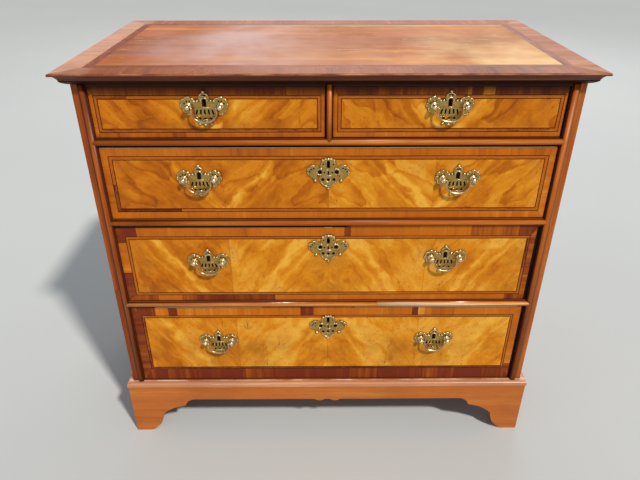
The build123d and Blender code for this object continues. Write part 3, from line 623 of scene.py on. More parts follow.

# Veneers and mouldings: pieces with their own grain and tone.
# corners gives the reach of the painted shade that darkens a wood in its corners and recesses.
LINE_WOOD = wood("ebonised_line", ((24, 8, 4), (46, 17, 6), (84, 38, 12)), pores=0.3, grime=0.1,
                 shine=0.1)
# Painted shadow: the crossband is nearly black above a height, for the shadow under the top.
CROSSBAND = wood("walnut_crossband", ((112, 42, 20), (190, 102, 16), (222, 144, 44), (244, 206, 160)),
                 rings=22, tone=True, contrast=0.62, shine=0.14, grime=0.2, corners=0.008,
                 wear=painted_shadow_above(SHADOW_LINE, 0.75))
FEATHER = wood("walnut_feather_band", ((92, 34, 18), (176, 92, 20), (208, 128, 38)), rings=40, tone=True,
               contrast=0.7, shine=0.14, corners=0.006)
STILE = wood("walnut_stile", ((90, 30, 8), (162, 80, 26), (208, 132, 60)), rings=24, tone=True, shine=0.18,
             contrast=0.7, corners=0.010)
BEAD, RAIL_BEAD = (
    wood(name, ((86, 30, 10), (174, 90, 22), (220, 148, 66), (232, 198, 160)), rings=30, tone=True,
         gloss=gloss, contrast=0.9, shine=shine, corners=0.006)
    for name, gloss, shine in (("walnut_bead", (0.3, 0.42), 0.2), ("walnut_rail_bead", (0.2, 0.3), 0.55)))
TOP_FIELD = wood("walnut_top_field", ((104, 42, 12), (178, 94, 20), (228, 148, 44)), rings=7, stretch=0.2,
                 waviness=0.8, tone=True, contrast=1.15, wear=scuffs_and_painted_sheen, gloss=(0.36, 0.56), grime=0.4,
                 shine=0.12)
TOP_BAND = wood("walnut_top_band", ((98, 44, 26), (164, 88, 42), (208, 142, 100)), rings=30, tone=True,
                wear=scuffs_and_painted_end_sheen, gloss=(0.34, 0.52), shine=0.2, contrast=0.8)
TOP_FEATHER = wood("walnut_top_feather", ((86, 38, 24), (142, 74, 42), (186, 114, 66)), rings=60, tone=True,
                   shine=0.2, wear=scuffs(0.3, SCRATCH))

# Solid parts: the grain follows an axis of the object or runs round the case.
# A near-black wood, used as painted shadow in the gaps round the fronts, and as wax and painted shade behind
# the brasses.
SHADE_AND_WAX = wood("wax_and_painted_shade", ((16, 8, 4), (28, 14, 6), (44, 24, 10)), "x", pores=0.2, shine=0.05)
TOP_EDGE = wood("walnut_top_edge", ((62, 26, 16), (106, 54, 34), (152, 90, 58)), "x", rings=30, shine=0.24,
                wear=edge_wear(2, TOP_HIGH.z, 0.003, 0.55, srgb(226, 158, 108)))
# Painted shade: the moulding under the top is coloured nearly black for the shadow under its lip.
MOULDING = wood("walnut_moulding", ((18, 6, 4), (34, 12, 7), (56, 24, 14)), "round case", rings=40,
                shine=0.12)
BASE_MOULDING = wood("walnut_base_moulding", ((138, 80, 52), (196, 134, 94), (236, 188, 148)), "round case",
                     rings=30, gloss=(0.22, 0.34), shine=0.6, corners=0.006,
                     wear=edge_wear(1, CASE_FRONT, 0.005, 0.85, srgb(236, 216, 196)))
BASE_X = wood("walnut_apron", ((120, 52, 14), (186, 102, 34), (220, 142, 64)), "x", rings=18, contrast=0.9)
BASE_Y = wood("walnut_side_bracket", ((118, 50, 14), (178, 96, 34), (208, 130, 58)), "y", rings=18,
              contrast=0.8)
SIDE = wood("walnut_side", ((92, 38, 14), (152, 80, 30), (192, 118, 54)), "z", rings=14, seed=2.0,
            corners=0.012)
# Painted shadow: the rail is nearly black above a height, under the top.
RAIL = wood("walnut_rail", ((80, 34, 14), (138, 70, 28), (180, 108, 52)), "x", rings=24, shine=0.15,
            wear=painted_shadow_above(SHADOW_LINE + 6 * MM, 0.9))
FRONT_CORE = wood("stained_front_core", ((70, 32, 12), (122, 66, 28), (160, 100, 52)), "x", rings=12,
                  gloss=(0.6, 0.85), shine=0.1, corners=0.006)
OAK_X = wood("oak_bottom", ((120, 88, 50), (170, 134, 86), (200, 168, 118)), "x", rings=18,
             gloss=(0.55, 0.8), seed=4.0, shine=0.2)
OAK_Y = wood("oak_lining", ((116, 84, 48), (166, 130, 82), (198, 164, 114)), "y", rings=24,
             gloss=(0.55, 0.8), seed=6.0, shine=0.2)
PINE_X = wood("pine_boards", ((96, 62, 32), (150, 106, 60), (186, 144, 90)), "x", rings=20,
              gloss=(0.6, 0.85), pores=0.2, seed=5.0, shine=0.15, corners=0.012, contrast=1.1)


def finish_node(node, material):
    """Give a CAD node's material slots a procedural material."""
    for material_slot in frame["nodes"][node].material_slots:
        material_slot.link = "OBJECT"
        material_slot.material = material


# ---- Drawer fronts -----------------------------------------------------------------------------

# Per drawer: outer crossband at top, bottom and sides, and the feather band, in millimetres.
BANDS = {
    "short_left": (15.0, 10.5, 7.5, 8.0),
    "short_right": (15.0, 10.5, 7.5, 8.0),
    "upper_long": (20.0, 16.0, 13.5, 8.5),
    "middle_long": (24.5, 15.0, 17.5, 7.5),
    "lower_long": (25.0, 32.0, 19.5, 7.0),
}
# Per drawer: each leaf's shade, mostly lighter to the right and on the lower drawers, partly as painted
# light; the ray's distance from the seam, lean and half width (mm); warmth.
LEAVES = {
    "short_left": ((-0.02, 0.08), (14, 0.90, 15), 0.25),
    "short_right": ((0.10, 0.04), (22, 0.70, 16), 0.30),
    "upper_long": ((-0.02, 0.06, 0.26, 0.18), (6, 0.95, 12), 0.25),
    "middle_long": ((0.06, 0.26, 0.26, 0.22), (58, 0.72, 13), 0.05),
    "lower_long": ((0.12, 0.26, 0.24, 0.28), (62, 0.78, 14), 0.0),
}
# Pieces let into the bands of each drawer, per side: start and end along it in millimetres, and shade. Some
# dark ones are painted shadow: the short drawers' top bands under the top, and the right end of the middle
# long drawer beside the bead.
PATCHES_AND_SHADE = {
    "short_left": {
        # The dark top band is painted shadow under the top.
        "top": [(-446, 0, -0.24)], "bottom": [(-446, 0, -0.10)],
        "feather_top": [(-440, -375, -0.24)], "feather_bottom": [(-440, 0, -0.13)],
    },
    "short_right": {
        # The dark top band is painted shadow under the top.
        "top": [(0, 446, -0.27), (255, 263, 0.20), (284, 306, 0.24)], "feather_bottom": [(300, 420, -0.12)],
    },
    "upper_long": {
        "top": [(-446, 446, -0.05)], "right": [(600, 760, 0.06)],
        "feather_bottom": [(-446, -300, -0.38)], "feather_left": [(600, 680, -0.3)],
    },
    "middle_long": {
        # The dark right end of the top band, the right band and the feather band is painted shadow beside the
        # bead.
        "top": [(-446, -402, -0.36), (34, 47, -0.36), (150, 446, -0.1), (300, 446, -0.22),
                (400, 446, -0.36)],
        "bottom": [(-446, -378, -0.30), (-325, -118, -0.34), (395, 446, -0.3)],
        "left": [(395, 470, -0.32), (545, 585, -0.36)], "right": [(394, 590, -0.2), (540, 590, -0.36)],
        "feather_right": [(480, 585, -0.3)],
    },
    "lower_long": {
        "top": [(-446, -392, -0.34), (-362, -342, -0.38), (-62, -32, -0.4), (192, 206, -0.36),
                (206, 221, 0.50), (236, 288, -0.12), (-330, -80, 0.06)],
        "bottom": [(-446, 446, -0.39)], "left": [(160, 378, -0.34)], "right": [(160, 205, -0.3)],
        "feather_left": [(160, 378, -0.3)], "feather_bottom": [(-446, 446, -0.34)],
    },
}
# Per drawer, in millimetres: start, end and height of the strip of painted shadow in the open joint above the
# front; width of the one past its right end.
GAP_SHADOWS = {
    "short_left": (0, 0, 0, 1.0),
    "short_right": (0, 0, 0, 3.0),
    "upper_long": (-445, 445, 2.6, 1.2),
    "middle_long": (-445, 40, 3.4, 6.5),
    "lower_long": (-445, -60, 2.0, 4.5),
}
# Painted highlight: a pale strip along the top of a front, where its edge catches the light: start, end in
# millimetres and shade.
EDGE_HIGHLIGHTS = {
    "upper_long": [(-444, 100, 0.5), (100, 441, 0.8)],
    "middle_long": [(-300, -8, 0.1), (-8, 8, 0.9), (190, 300, 0.4)],
    "lower_long": [(-390, -150, 0.55), (60, 430, 0.5)],
}


def patch_and_shade_tones(name, prefix=""):
    """tones(side, place in metres) and ends(side) of the pieces let into one of a drawer's bands, and of its
    painted shadow.
    """
    def tones(side, at):
        found = [shade for start, end, shade in PATCHES_AND_SHADE[name].get(prefix + side, ())
                 if start * MM <= at <= end * MM]
        return found[-1] if found else 0.0

    def ends(side):
        return [end * MM for *ends, _ in PATCHES_AND_SHADE[name].get(prefix + side, ()) for end in ends]
    return tones, ends


def drill(mesh, loop, y):
    """Cut a closed (x, z) loop through a thin front piece."""
    depth = 2 * MM
    target = in_scene("drilled", mesh)
    count = len(loop)
    points = [(x, level, z) for level in (y - depth, y + depth) for x, z in loop]
    ends = [list(range(count)), list(range(2 * count - 1, count - 1, -1))]
    bit = in_scene("bit", closed_mesh("bit", points, ends + prism_sides(0, count)))
    cut = target.modifiers.new("cut", "BOOLEAN")
    cut.operation, cut.solver, cut.object = "DIFFERENCE", "EXACT", bit
    drilled = evaluated_mesh(target)
    bpy.data.objects.remove(bit)
    bpy.data.objects.remove(target)
    return drilled


def keyhole_loop(name):
    """The outline of a drawer front's keyhole on its face: the tallest of the small loops."""
    def height(loop):
        return max(z for _, z in loop) - min(z for _, z in loop)
    front = f"{name}_drawer_front"
    loops = front_loops(frame["nodes"][front].data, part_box(front)[0].y)
    return max((loop for loop in loops if height(loop) < PIERCING_LIMIT), key=height)


def painted_gap_shade(name, front, below, place):
    """Painted shade: near-black strips on a front where its gaps fall into shadow: under it, past its right
    end and in the open joint above it, down to a height.
    """
    joint_start, joint_end, joint, right_joint = GAP_SHADOWS[name]
    left, low, right, high = front
    shadow = Leaves(place)
    shadow.add(rectangle(left, low, right, low + EDGE_STRIP), swell=SWELL)
    shadow.add(rectangle(right - right_joint * MM, low + EDGE_STRIP, right, below), swell=SWELL)
    if joint:
        shadow.add(rectangle(joint_start * MM, below, joint_end * MM, high), swell=SWELL)
    shadow.lay(f"{name}_painted_gap_shade", f"{name}_drawer", SHADE_AND_WAX)


def drawer_veneers(name, index):
    """Crossband, feather band with its lines, and book-matched leaves on one drawer front."""
    low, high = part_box(f"{name}_drawer_front")
    body, slot = f"{name}_drawer", "walnut_burr"
    rng = random.Random(index + 11)
    top, bottom, sides, feather = (value * MM for value in BANDS[name])
    outer = (low.x, low.z, high.x, high.z)
    middle = inset(outer, top, bottom, sides, sides)
    panel = inset_all(middle, feather)
    place = on_front(low.y)

    crossband = Leaves(place)
    band_ring(crossband, ring_strips(outer, middle), CROSSBAND_LENGTH, rng, *patch_and_shade_tones(name))
    below = high.z - GAP_SHADOWS[name][2] * MM
    # Painted highlight along the top edge of the front.
    for start, end, shade in EDGE_HIGHLIGHTS.get(name, ()):
        crossband.add(rectangle(start * MM, below - EDGE_STRIP, end * MM, below), seed=2.0, tone=shade,
                      swell=SWELL)
    crossband.lay(f"{name}_crossband", body, CROSSBAND)
    painted_gap_shade(name, outer, below, place)

    herring = Leaves(place)
    inner_edge, outer_edge = inset_all(middle, LINE), inset_all(panel, -LINE)
    herringbone(herring, inner_edge, (feather - 2 * LINE) / 2, outer_edge, rng, *patch_and_shade_tones(name, "feather_"))
    herring.lay(f"{name}_feather_band", body, FEATHER)

    lines = Leaves(place, VENEER * 1.05)
    for side, outline in ring_strips(middle, inner_edge) + ring_strips(outer_edge, panel):
        lines.add(outline, angle=0.0 if side in ("top", "bottom") else math.pi / 2)
    lines.lay(f"{name}_stringing", body, LINE_WOOD)

    shades, (offset, lean, half_width), warmth = LEAVES[name]
    material = burr_walnut(f"{name}_burr", 3.0 * index + 1.0, (offset * MM, lean, half_width * MM), warmth)
    keyhole = keyhole_loop(name)
    width = (panel[2] - panel[0]) / len(shades)
    gap = 0.15 * MM
    for leaf, shade in enumerate(shades):
        left = panel[0] + leaf * width
        opens_left = leaf % 2 == 0
        piece = Leaves(place)
        piece.add(rectangle(left + gap, panel[1] + gap, left + width - gap, panel[3] - gap),
                  origin=(left + width if opens_left else left, panel[1]),
                  mirror=-1.0 if opens_left else 1.0, seed=0.016 * leaf, tone=shade)
        mesh = piece.mesh(f"{name}_leaf_{leaf + 1}")
        if min(x for x, _ in keyhole) < left + width and max(x for x, _ in keyhole) > left:
            mesh = drill(mesh, keyhole, low.y)
            piece.paint(mesh)
        new_object(f"{name}_leaf_{leaf + 1}", mesh, body, material)


# ---- The top -----------------------------------------------------------------------------------

def top_veneers():
    """Field of three leaves, dark feather band and crossband on the top."""
    rng = random.Random(5)
    nose, back_gap, thin = 2.5 * MM, 1 * MM, 0.4 * MM
    feather = 18 * MM
    outer = (TOP_LOW.x + nose, TOP_LOW.y + nose, TOP_HIGH.x - nose, TOP_HIGH.y - back_gap)
    band_in = inset(outer, 52 * MM, 46 * MM, 44 * MM, 44 * MM)
    field = inset_all(band_in, feather)
    place = on_top(TOP_HIGH.z)
    body, slot = "carcass", "walnut_top"

    crossband = Leaves(place, thin)
    # The left band is lighter partly as painted sheen.
    shades = {"bottom": -0.10, "top": 0.05, "left": 0.26, "right": 0.18}
    band_ring(crossband, ring_strips(outer, band_in), TOP_BAND_LENGTH, rng, lambda side, at: shades[side])
    crossband.lay("top_crossband", body, TOP_BAND)

    herring = Leaves(place, thin)
    herringbone(herring, band_in, feather / 2, field, rng, lambda side, at: 0.0)
    herring.lay("top_feather_band", body, TOP_FEATHER)

    depth = (field[3] - field[1]) / 3
    for row, shade in enumerate((0.02, -0.04, 0.03)):
        low = field[1] + row * depth
        piece = Leaves(place, thin)
        piece.add(rectangle(field[0], low, field[2], low + depth), seed=0.05 * row, tone=shade)
        piece.lay(f"top_leaf_{row + 1}", body, TOP_FIELD)


# ---- Stiles and half-round mouldings -----------------------------------------------------------

def stile_facings():
    """Veneer strips on the front edges of the case sides, outside the half-round mouldings."""
    low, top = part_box("left_side")[0].z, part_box("top_moulding")[0].z
    gap = 0.1 * MM
    rng = random.Random(21)
    # Painted light: the left stile is shaded darker and the right one lighter, as the light falls from the
    # right.
    for name, left, right, shade in (("left", -CASE_HALF, -OPENING_HALF - BEAD_WIDTH, -0.26),
                                     ("right", OPENING_HALF + BEAD_WIDTH, CASE_HALF, 0.15)):
        strip = Leaves(on_front(CASE_FRONT))
        for start, end in segments(low, top, FACING_LENGTH, rng):
            strip.add(rectangle(left, start + gap, right, end - gap), angle=math.pi / 2,
                      seed=rng.uniform(0, 9), tone=shade + rng.uniform(-0.03, 0.03))
        strip.lay(f"{name}_stile_facing", "carcass", STILE)


def add_half_round(shape, start, end, width, proud, shade, rng):
    """Add half-round lengths between two (x, z) places on the case front to points, faces, grain and tone.

    The tone is darker towards both edges, as painted shade where the bead meets the case.
    """
    points, faces, grain, tone = shape
    step, sides, gap = 2.0, 14, 0.08 * MM
    start, end = (Vector((x, CASE_FRONT, z)) for x, z in (start, end))
    outwards = Vector((0, -1, 0))
    direction = (end - start).normalized()
    across = outwards.cross(direction)
    for low, high in segments(0.0, (end - start).length, step, rng):
        seed = rng.uniform(0, 9)
        first, row = len(points), sides + 1
        for at in (low + gap, high - gap):
            for k in range(row):
                angle = math.pi * k / sides
                offset = across * (-math.cos(angle) * width / 2) + outwards * (math.sin(angle) * proud)
                points.append(start + direction * at + offset)
                grain.append((at, angle * width / 2, seed))
                # Painted shade on the bead's flanks.
                tone.append(shade - 0.9 * math.cos(angle) ** 4)
        for k in range(sides):
            faces.append([first + k, first + k + 1, first + row + k + 1, first + row + k])
        faces.append([first, first + row, first + row + sides, first + sides])
        faces.append([first + k for k in reversed(range(row))])
        faces.append([first + row + k for k in range(row)])


def half_round_piece(name, runs, rng, material=BEAD):
    """A piece of one or more half-round runs: for each its ends, width, height and shade."""
    points, faces, grain, tone = shape = [], [], [], []
    for run in runs:
        add_half_round(shape, *run, rng)
    mesh = closed_mesh(name, [tuple(p) for p in points], faces, round_sides=True)
    write_attributes(mesh, grain, tone)
    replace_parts(new_object(name, mesh, "carcass", material), "half_round_mouldings")


def half_rounds():
    """The half-round mouldings; those on the rails run to the middle of the uprights they meet."""
    rng = random.Random(31)
    low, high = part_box("half_round_mouldings")
    proud = CASE_FRONT - low.y
    stile_x = high.x - BEAD_WIDTH / 2
    # Painted light: the left stile's bead is darker than the right one.
    for name, x, shade in (("left_stile_bead", -stile_x, -0.13), ("right_stile_bead", stile_x, -0.06)):
        half_round_piece(name, [((x, low.z), (x, high.z), BEAD_WIDTH, proud, shade)], rng)
    under_front = 1 * MM + BEAD_WIDTH / 2
    mend, mend_shade = 110 * MM, 0.09           # the lowest rail's bead is mended from here to the right
    over_rails = (("middle_long", 0.30), ("upper_long", 0.14), ("short_left", 0.06))
    for number, (drawer, shade) in enumerate(over_rails):
        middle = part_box(f"{drawer}_drawer_front")[0].z - under_front
        ends = (-stile_x, stile_x) if number else (-stile_x, mend, stile_x)
        runs = [((start, middle), (end, middle), BEAD_WIDTH, proud, shade + k * mend_shade)
                for k, (start, end) in enumerate(zip(ends, ends[1:]))]
        half_round_piece(f"rail_bead_{number + 1}", runs, rng, BEAD if number else RAIL_BEAD)
    half_round_piece("divider_bead", [((0, middle), (0, high.z), 12 * MM, proud, -0.04)], rng)


# ---- Brasses -----------------------------------------------------------------------------------

def front_loops(mesh, front_y):
    """Closed loops of a plate's front edge, each a list of (x, z)."""
    bm = bmesh.new()
    bm.from_mesh(mesh)
    bmesh.ops.remove_doubles(bm, verts=bm.verts, dist=1e-6)
    links = {}
    for edge in bm.edges:
        on_face = all(abs(vert.co.y - front_y) < 1e-5 for vert in edge.verts)
        if on_face and len(edge.link_faces) == 2:
            normals = [abs(face.normal.y) for face in edge.link_faces]
            if min(normals) < 0.5 < max(normals):
                a, b = edge.verts
                links.setdefault(a, []).append(b)
                links.setdefault(b, []).append(a)
    loops, seen = [], set()
    for start in links:
        if start in seen:
            continue
        loop, here, before = [], start, None
        while here not in seen:
            seen.add(here)
            loop.append((here.co.x, here.co.z))
            onward = [vert for vert in links[here] if vert is not before and vert not in seen]
            before = here
            if not onward:
                break
            here = onward[0]
        loops.append(loop)
    bm.free()
    return loops


def cast_plate_mesh(name, loops, back_y, thickness):
    """A flat plate with rounded edges, from its outline and piercings."""
    rounding = 0.45 * MM
    curve = bpy.data.curves.new(name, "CURVE")
    curve.dimensions, curve.fill_mode = "2D", "BOTH"
    for loop in loops:
        spline = curve.splines.new("POLY")
        spline.points.add(len(loop) - 1)
        for point, (x, z) in zip(spline.points, loop):
            point.co = (x, z, 0, 1)
        spline.use_cyclic_u = True
    curve.extrude = thickness / 2 - rounding
    curve.bevel_depth, curve.bevel_resolution = rounding, 2
    curve.offset = -rounding
    holder = in_scene(name, curve)
    mesh = evaluated_mesh(holder)
    bpy.data.objects.remove(holder)
    stand = Matrix.Rotation(math.pi / 2, 4, "X")
    mesh.transform(Matrix.Translation((0, back_y - thickness / 2, 0)) @ stand)
    return mesh


def shade_and_wax_film(name, loops, back_y, thickness):
    """A thin closed film that fills outlines."""
    points, faces = [], []
    for loop in loops:
        first, count = len(points), len(loop)
        points += [(x, level, z) for level in (back_y, back_y - thickness) for x, z in loop]
        for triangle in tessellate_polygon([[Vector((x, z, 0)) for x, z in loop]]):
            faces += [[first + k for k in triangle], [first + count + k for k in triangle]]
        faces += prism_sides(first, count)
    return closed_mesh(name, points, faces)


def circle(middle, side_a, side_b, radius, sides):
    """Points round a circle spanned by two directions; a single point where it has no radius."""
    if radius < 1e-6:
        return [middle]
    turns = [2 * math.pi * k / sides for k in range(sides)]
    return [middle + (side_a * math.cos(turn) + side_b * math.sin(turn)) * radius for turn in turns]


def skin(name, rings, sides, capped=False):
    """A smooth surface over rings of points, closed by flat caps where asked."""
    bm = bmesh.new()
    rings = [[bm.verts.new(point) for point in ring] for ring in rings]
    for lower, upper in zip(rings, rings[1:]):
        for k in range(sides):
            j = (k + 1) % sides
            corners = [lower[k % len(lower)], lower[j % len(lower)],
                       upper[j % len(upper)], upper[k % len(upper)]]
            bm.faces.new(list(dict.fromkeys(corners)))
    for ring in (rings[0], rings[-1]) if capped else ():
        bm.faces.new(ring)
    bmesh.ops.recalc_face_normals(bm, faces=bm.faces)
    for face in bm.faces:
        face.smooth = len(face.verts) <= 4
    mesh = bpy.data.meshes.new(name)
    bm.to_mesh(mesh)
    bm.free()
    return mesh


def lathe(profile, centre, sides, axis=(0, -1, 0)):
    """A turned form: profile is (distance along axis, radius), from end to end."""
    axis = Vector(axis)
    side_a = axis.orthogonal().normalized()
    side_b = axis.cross(side_a)
    rings = [circle(Vector(centre) + axis * distance, side_a, side_b, radius, sides)
             for distance, radius in profile]
    return skin("lathe", rings, sides)


def tube(points, radii, sides):
    """A closed round tube through points, with its own radius at each."""
    rings = []
    for i, (point, radius) in enumerate(zip(points, radii)):
        before, after = Vector(points[max(i - 1, 0)]), Vector(points[min(i + 1, len(points) - 1)])
        direction = (after - before).normalized()
        side_a = direction.cross(Vector((0, 1, 0))).normalized()
        rings.append(circle(Vector(point), side_a, side_a.cross(direction), radius, sides))
    return skin("tube", rings, sides, capped=True)


def joined(name, meshes):
    """One mesh from several."""
    bm = bmesh.new()
    for mesh in meshes:
        bm.from_mesh(mesh)
        bpy.data.meshes.remove(mesh)
    result = bpy.data.meshes.new(name)
    bm.to_mesh(result)
    bm.free()
    return result


def arc(centre, radius, start, end, count=8):
    """Points on a circle, angles in degrees from +X towards +Z."""
    turns = [math.radians(start + (end - start) * k / (count - 1)) for k in range(count)]
    return [(centre[0] + radius * math.cos(turn), centre[1] + radius * math.sin(turn)) for turn in turns]


def ridge(x, z, front_y, line, radius):
    """A raised ridge along a line of (x, z) millimetres from a plate's centre."""
    points = [(x + a * MM, front_y, z + b * MM) for a, b in line]
    taper = [0.55 if i in (0, len(points) - 1) else 1.0 for i in range(len(points))]
    return tube(points, [radius * MM * share for share in taper], sides=8)


def boss(x, z, front_y, at, radius):
    """A raised round boss, set a little into the plate."""
    r = radius * MM
    dome = [(r * math.sin(math.radians(t)), r * math.cos(math.radians(t))) for t in (0, 20, 45, 70)]
    foot = (x + at[0] * MM, front_y, z + at[1] * MM)
    return lathe([(-0.5 * MM, r), *dome, (r, 0.0)], foot, sides=12)


# Ornament cast on each kind of plate, in millimetres from its centre: ridges as (line, radius), ridges of the
# right wing, which the left one mirrors, and bosses as (place, radius).
HANDLE_RELIEF = (
    [(arc((0, 9.5), 6.2, -30, 210, 13), 1.0), (arc((0, 15), 8.6, 20, 160, 9), 1.1),
     ([(-18.5, -3.0), (18.5, -3.0)], 1.0), ([(-17, -19), (-11, -29)], 0.9), ([(17, -19), (11, -29)], 0.9),
     (arc((0, -30.5), 4.6, 10, 170, 9), 0.9)],
    [(arc((23.5, 9.0), 4.9, 60, 200, 7), 0.9), (arc((31.0, 12.5), 4.4, 20, 160), 0.9),
     (arc((37.5, 8.5), 4.4, -20, 110), 0.9), (arc((39.5, 0.5), 4.4, -60, 60), 0.9),
     (arc((35.0, -6.5), 5.0, -100, 20), 0.9), (arc((30.0, -13), 3.8, 180, 350), 0.8)],
    [((0, 27), 3.0), ((-12.5, 9.5), 2.1), ((12.5, 9.5), 2.1), ((-18.5, 9.0), 2.1), ((18.5, 9.0), 2.1),
     ((-11, -34.5), 1.8), ((11, -34.5), 1.8), ((0, -36), 2.2)],
)
ESCUTCHEON_RELIEF = (
    [(arc((0, 15), 14.2, 15, 165, 15), 0.9), ([(-3.9, 8), (-3.9, 26)], 0.8), ([(3.9, 8), (3.9, 26)], 0.8),
     ([(-14, -9), (0, -5.5), (14, -9)], 0.9), (arc((0, -14), 15.5, 205, 335, 11), 0.9),
     (arc((0, -15), 5.0, 190, 350, 9), 0.9)],
    [(arc((17, 1.5), 6.3, -120, 120, 11), 0.9), (arc((31, 10), 4.9, 30, 150, 7), 0.9),
     (arc((37, 5.5), 4.4, -10, 110, 7), 0.9), (arc((36, -1), 4.4, -70, 40, 7), 0.9)],
    [((0, 29), 2.4), ((5.5, 28.5), 2.0), ((-5.5, 28.5), 2.0), ((11.5, 25.5), 2.0), ((-11.5, 25.5), 2.0),
     ((25.5, -17), 2.6), ((-25.5, -17), 2.6), ((0, -34), 2.0), ((14.5, 8), 2.6), ((-14.5, 8), 2.6),
     ((-2.5, 6), 1.8)],
)


def relief_meshes(x, z, front_y, ridges, wing, bosses):
    """The ornament of one plate about its centre."""
    wings = [(side, radius) for line, radius in wing for side in (line, [(-a, b) for a, b in line])]
    return ([ridge(x, z, front_y, line, radius) for line, radius in ridges + wings]
            + [boss(x, z, front_y, at, radius) for at, radius in bosses])


def cast_plates(node, name, body, centres, relief):
    """Replace a node of flat plates by rounded castings with relief, over a dark film of old wax that also
    paints shade into the piercings.
    """
    low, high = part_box(node)
    loops = front_loops(frame["nodes"][node].data, low.y)
    meshes = [cast_plate_mesh(name, loops, high.y, high.y - low.y)]
    for x, z in centres:
        meshes += relief_meshes(x, z, low.y, *relief)
    piece = new_object(name, joined(name, meshes), body, BRASS)
    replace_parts(piece, node)

    def span(loop):
        return min(x for x, _ in loop), max(x for x, _ in loop)
    outlines = [loop for loop in loops if span(loop)[1] - span(loop)[0] > PIERCING_LIMIT]
    # Painted shade and dark wax: a near-black film behind the plate darkens its piercings.
    film = shade_and_wax_film(f"{name}_wax", outlines, high.y - VENEER, 0.08 * MM)
    keyhole = keyhole_loop(body.removesuffix("_drawer"))
    if any(span(loop)[0] < keyhole[0][0] < span(loop)[1] for loop in outlines):
        film = drill(film, keyhole, high.y - VENEER)
    new_object(f"{name}_wax", film, body, SHADE_AND_WAX)


def bail_centres():
    """Each drawer's bails: body name and the middle of its hinge line, from the joints."""
    found = {name: [] for name in DRAWERS}
    for joint in frame["joints"]:
        if joint["type"] == "hinge":
            drawer = joint["parent"].removesuffix("_drawer")
            found[drawer].append((joint["child"], Vector(joint["pos_m"])))
    return found


def profile_of(*places):
    """A lathe's profile from (distance, radius) in millimetres."""
    return [(distance * MM, radius * MM) for distance, radius in places]


def handle_posts(name, centres):
    """Turned posts with round heads, and their nuts behind the drawer front."""
    node = f"{name}_handle_posts"
    plate_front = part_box(f"{name}_handle_plates")[0].y
    front_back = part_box(f"{name}_drawer_front")[1].y
    tail = plate_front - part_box(node)[1].y
    head, end = 5.3 * MM, 5.35 * MM
    meshes = []
    for _, pivot in centres:
        reach = plate_front - pivot.y
        ball = [(reach + head * math.sin(turn), head * math.cos(turn))
                for turn in (math.radians(degrees) for degrees in range(-55, 86, 14))]
        neck = profile_of((0, 2.8), (0, 6.4), (0.9, 6.6), (1.7, 5.9), (2.3, 4.2), (3.4, 3.0))
        post = [(tail, 0.0), (tail, 2.6 * MM), *neck, *ball, (reach + end, 0.0)]
        nut = profile_of((0, 0), (0, 5.2), (-0.6, 5.6), (-3.4, 5.6), (-4, 5.2), (-4, 0))
        for side in (-1, 1):
            x = pivot.x + side * POST_HALF
            meshes.append(lathe(post, (x, plate_front, pivot.z), sides=24))
            meshes.append(lathe(nut, (x, front_back, pivot.z), sides=6))
            for polygon in meshes[-1].polygons:
                polygon.use_smooth = False
    turned = node + "_turned"
    piece = new_object(turned, joined(turned, meshes), f"{name}_drawer", BRASS)
    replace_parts(piece, node)


def rounded(controls, steps):
    """Points on a Catmull-Rom curve through the controls."""
    last = len(controls) - 1
    points = []
    for i in range(last):
        p0, p1, p2, p3 = (controls[min(max(k, 0), last)] for k in range(i - 1, i + 3))
        for step in range(steps):
            t = step / steps
            points.append(0.5 * ((2 * p1) + (p2 - p0) * t + (2 * p0 - 5 * p1 + 4 * p2 - p3) * t * t
                                 + (3 * p1 - p0 - 3 * p2 + p3) * t ** 3))
    return points + [controls[-1]]


def swan_neck_bail(body, pivot):
    """A bail whose necks curl in from the posts, with a grip that is thickest in the middle."""
    # Half of the bail in millimetres: across and up from the hinge line's middle, and the bar's radius.
    half = [(-30.0, 0.0, 1.6), (-27.0, 0.0, 1.6), (-24.6, -0.2, 1.65), (-23.2, -1.6, 1.75),
            (-22.9, -4.5, 1.8), (-23.3, -8.0, 1.75), (-23.2, -11.6, 1.7), (-22.2, -15.4, 1.7),
            (-19.9, -19.3, 1.8), (-16.6, -22.7, 2.0), (-12.6, -25.3, 2.3), (-8.3, -26.9, 2.6),
            (-4.2, -27.7, 2.75)]
    line = half + [(0.0, -28.0, 2.8)] + [(-a, b, r) for a, b, r in reversed(half)]
    bar = rounded([Vector(control) for control in line], 3)
    points = [(pivot.x + p.x * MM, pivot.y, pivot.z + p.y * MM) for p in bar]
    mesh = tube(points, [p.z * MM for p in bar], sides=14)
    knob = profile_of((-1.9, 0), (-1.3, 1.9), (0, 2.6), (1.3, 1.9), (1.9, 0))
    knobs = [lathe(knob, (pivot.x + side * 23.2 * MM, pivot.y, pivot.z - 2.2 * MM), 12, (0, 0, 1))
             for side in (-1, 1)]
    cast = body + "_cast"
    piece = new_object(cast, joined(cast, [mesh, *knobs]), body, BAIL_BRASS)
    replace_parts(piece, body)


def brasses():
    centres = bail_centres()
    for name in DRAWERS:
        body = f"{name}_drawer"
        places = [(pivot.x, pivot.z) for _, pivot in centres[name]]
        cast_plates(f"{name}_handle_plates", f"{name}_plates_cast", body, places, HANDLE_RELIEF)
        handle_posts(name, centres[name])
        for bail, pivot in centres[name]:
            swan_neck_bail(bail, pivot)
        escutcheon = f"{name}_escutcheon"
        if escutcheon in frame["nodes"]:
            low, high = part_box(escutcheon)
            place = ((low.x + high.x) / 2, low.z + ESCUTCHEON_DROP)
            cast_plates(escutcheon, f"{name}_escutcheon_cast", body, [place], ESCUTCHEON_RELIEF)


# ---- Carried-over nodes ------------------------------------------------------------------------

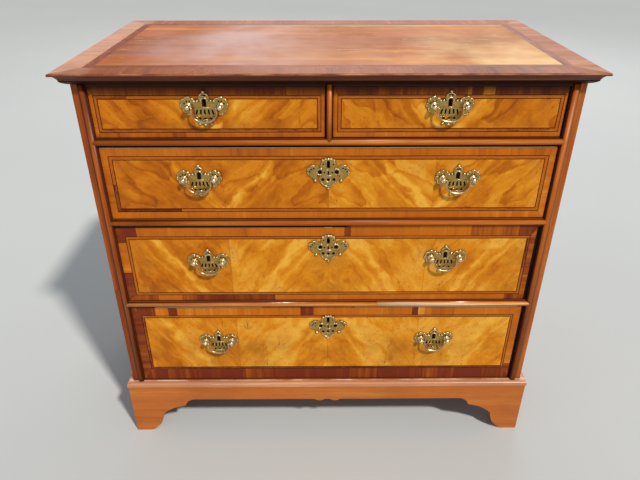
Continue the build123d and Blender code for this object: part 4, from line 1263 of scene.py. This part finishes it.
def finish_nodes():
    plain = {
        "left_side": SIDE, "right_side": SIDE, "top_board": TOP_EDGE, "top_moulding": MOULDING,
        "carcass_bottom": RAIL, "drawer_rails": RAIL, "dustboards": PINE_X, "short_drawer_divider": RAIL,
        "half_round_mouldings": RAIL, "back_boards": PINE_X, "base_moulding": BASE_MOULDING,
        "front_bracket": BASE_X, "side_brackets": BASE_Y, "foot_blocks": PINE_X,
    }
    for node in frame["nodes"]:
        if node in plain:
            finish_node(node, plain[node])
        elif node.endswith("_drawer_front"):
            finish_node(node, FRONT_CORE)
        elif node.endswith("_linings"):
            finish_node(node, OAK_Y)
        elif node.endswith("_drawer_bottom"):
            finish_node(node, OAK_X)
        elif "_lock_" in node:
            finish_node(node, IRON)
        else:
            finish_node(node, BRASS)


# ---- Studio ------------------------------------------------------------------------------------

def area_light(name, location, target, size, power, colour=(1, 1, 1)):
    data = bpy.data.lights.new(name, "AREA")
    data.shape = "RECTANGLE"
    data.size, data.size_y = size
    data.energy = power
    data.color = colour
    light = in_scene(name, data)
    light.location = location
    light.rotation_euler = (Vector(target) - Vector(location)).to_track_quat("-Z", "Y").to_euler()


def studio():
    """Pale floor, soft light from above and the front right, and the camera."""
    floor_mesh = bpy.data.meshes.new("floor")
    reach = 40.0
    corners = [(-reach, -reach, 0), (reach, -reach, 0), (reach, reach, 0), (-reach, reach, 0)]
    floor_mesh.from_pydata(corners, [], [(0, 1, 2, 3)])
    floor_mesh.materials.append(floor_material())
    floor = in_scene("floor", floor_mesh)

    world = bpy.data.worlds.new("studio")
    bpy.context.scene.world = world
    world.use_nodes = True
    background = world.node_tree.nodes["Background"]
    background.inputs["Color"].default_value = (0.88, 0.93, 1.0, 1)
    background.inputs["Strength"].default_value = 0.34

    key = bpy.data.lights.new("key", "SUN")
    key.energy = 3.2
    key.angle = 0.07
    key.color = (1.0, 0.95, 0.88)
    lamp = in_scene("key", key)
    lamp.rotation_euler = Vector((-0.40, 0.525, -0.75)).to_track_quat("-Z", "Y").to_euler()
    area_light("fill", (-3.0, -3.2, 2.2), (0, 0, 0.5), (3.0, 2.4), 12, (0.95, 0.97, 1.0))
    area_light("back", (0.8, 4.0, 3.4), (0, 0, 0.6), (4.0, 3.0), 80, (1.0, 1.0, 1.0))

    camera_data = bpy.data.cameras.new("camera")
    camera_data.sensor_width = 36.0
    camera_data.lens = 32.41
    camera = in_scene("camera", camera_data)
    camera.location = (-0.0245, -1.3021, 1.1584)
    camera.rotation_euler = (math.pi / 2 - 0.523, 0.0002, -0.0067)
    bpy.context.scene.camera = camera
    bpy.context.scene.view_settings.view_transform = "Standard"


studio()
finish_nodes()
for number, drawer in enumerate(DRAWERS):
    drawer_veneers(drawer, number)
top_veneers()
stile_facings()
half_rounds()
brasses()
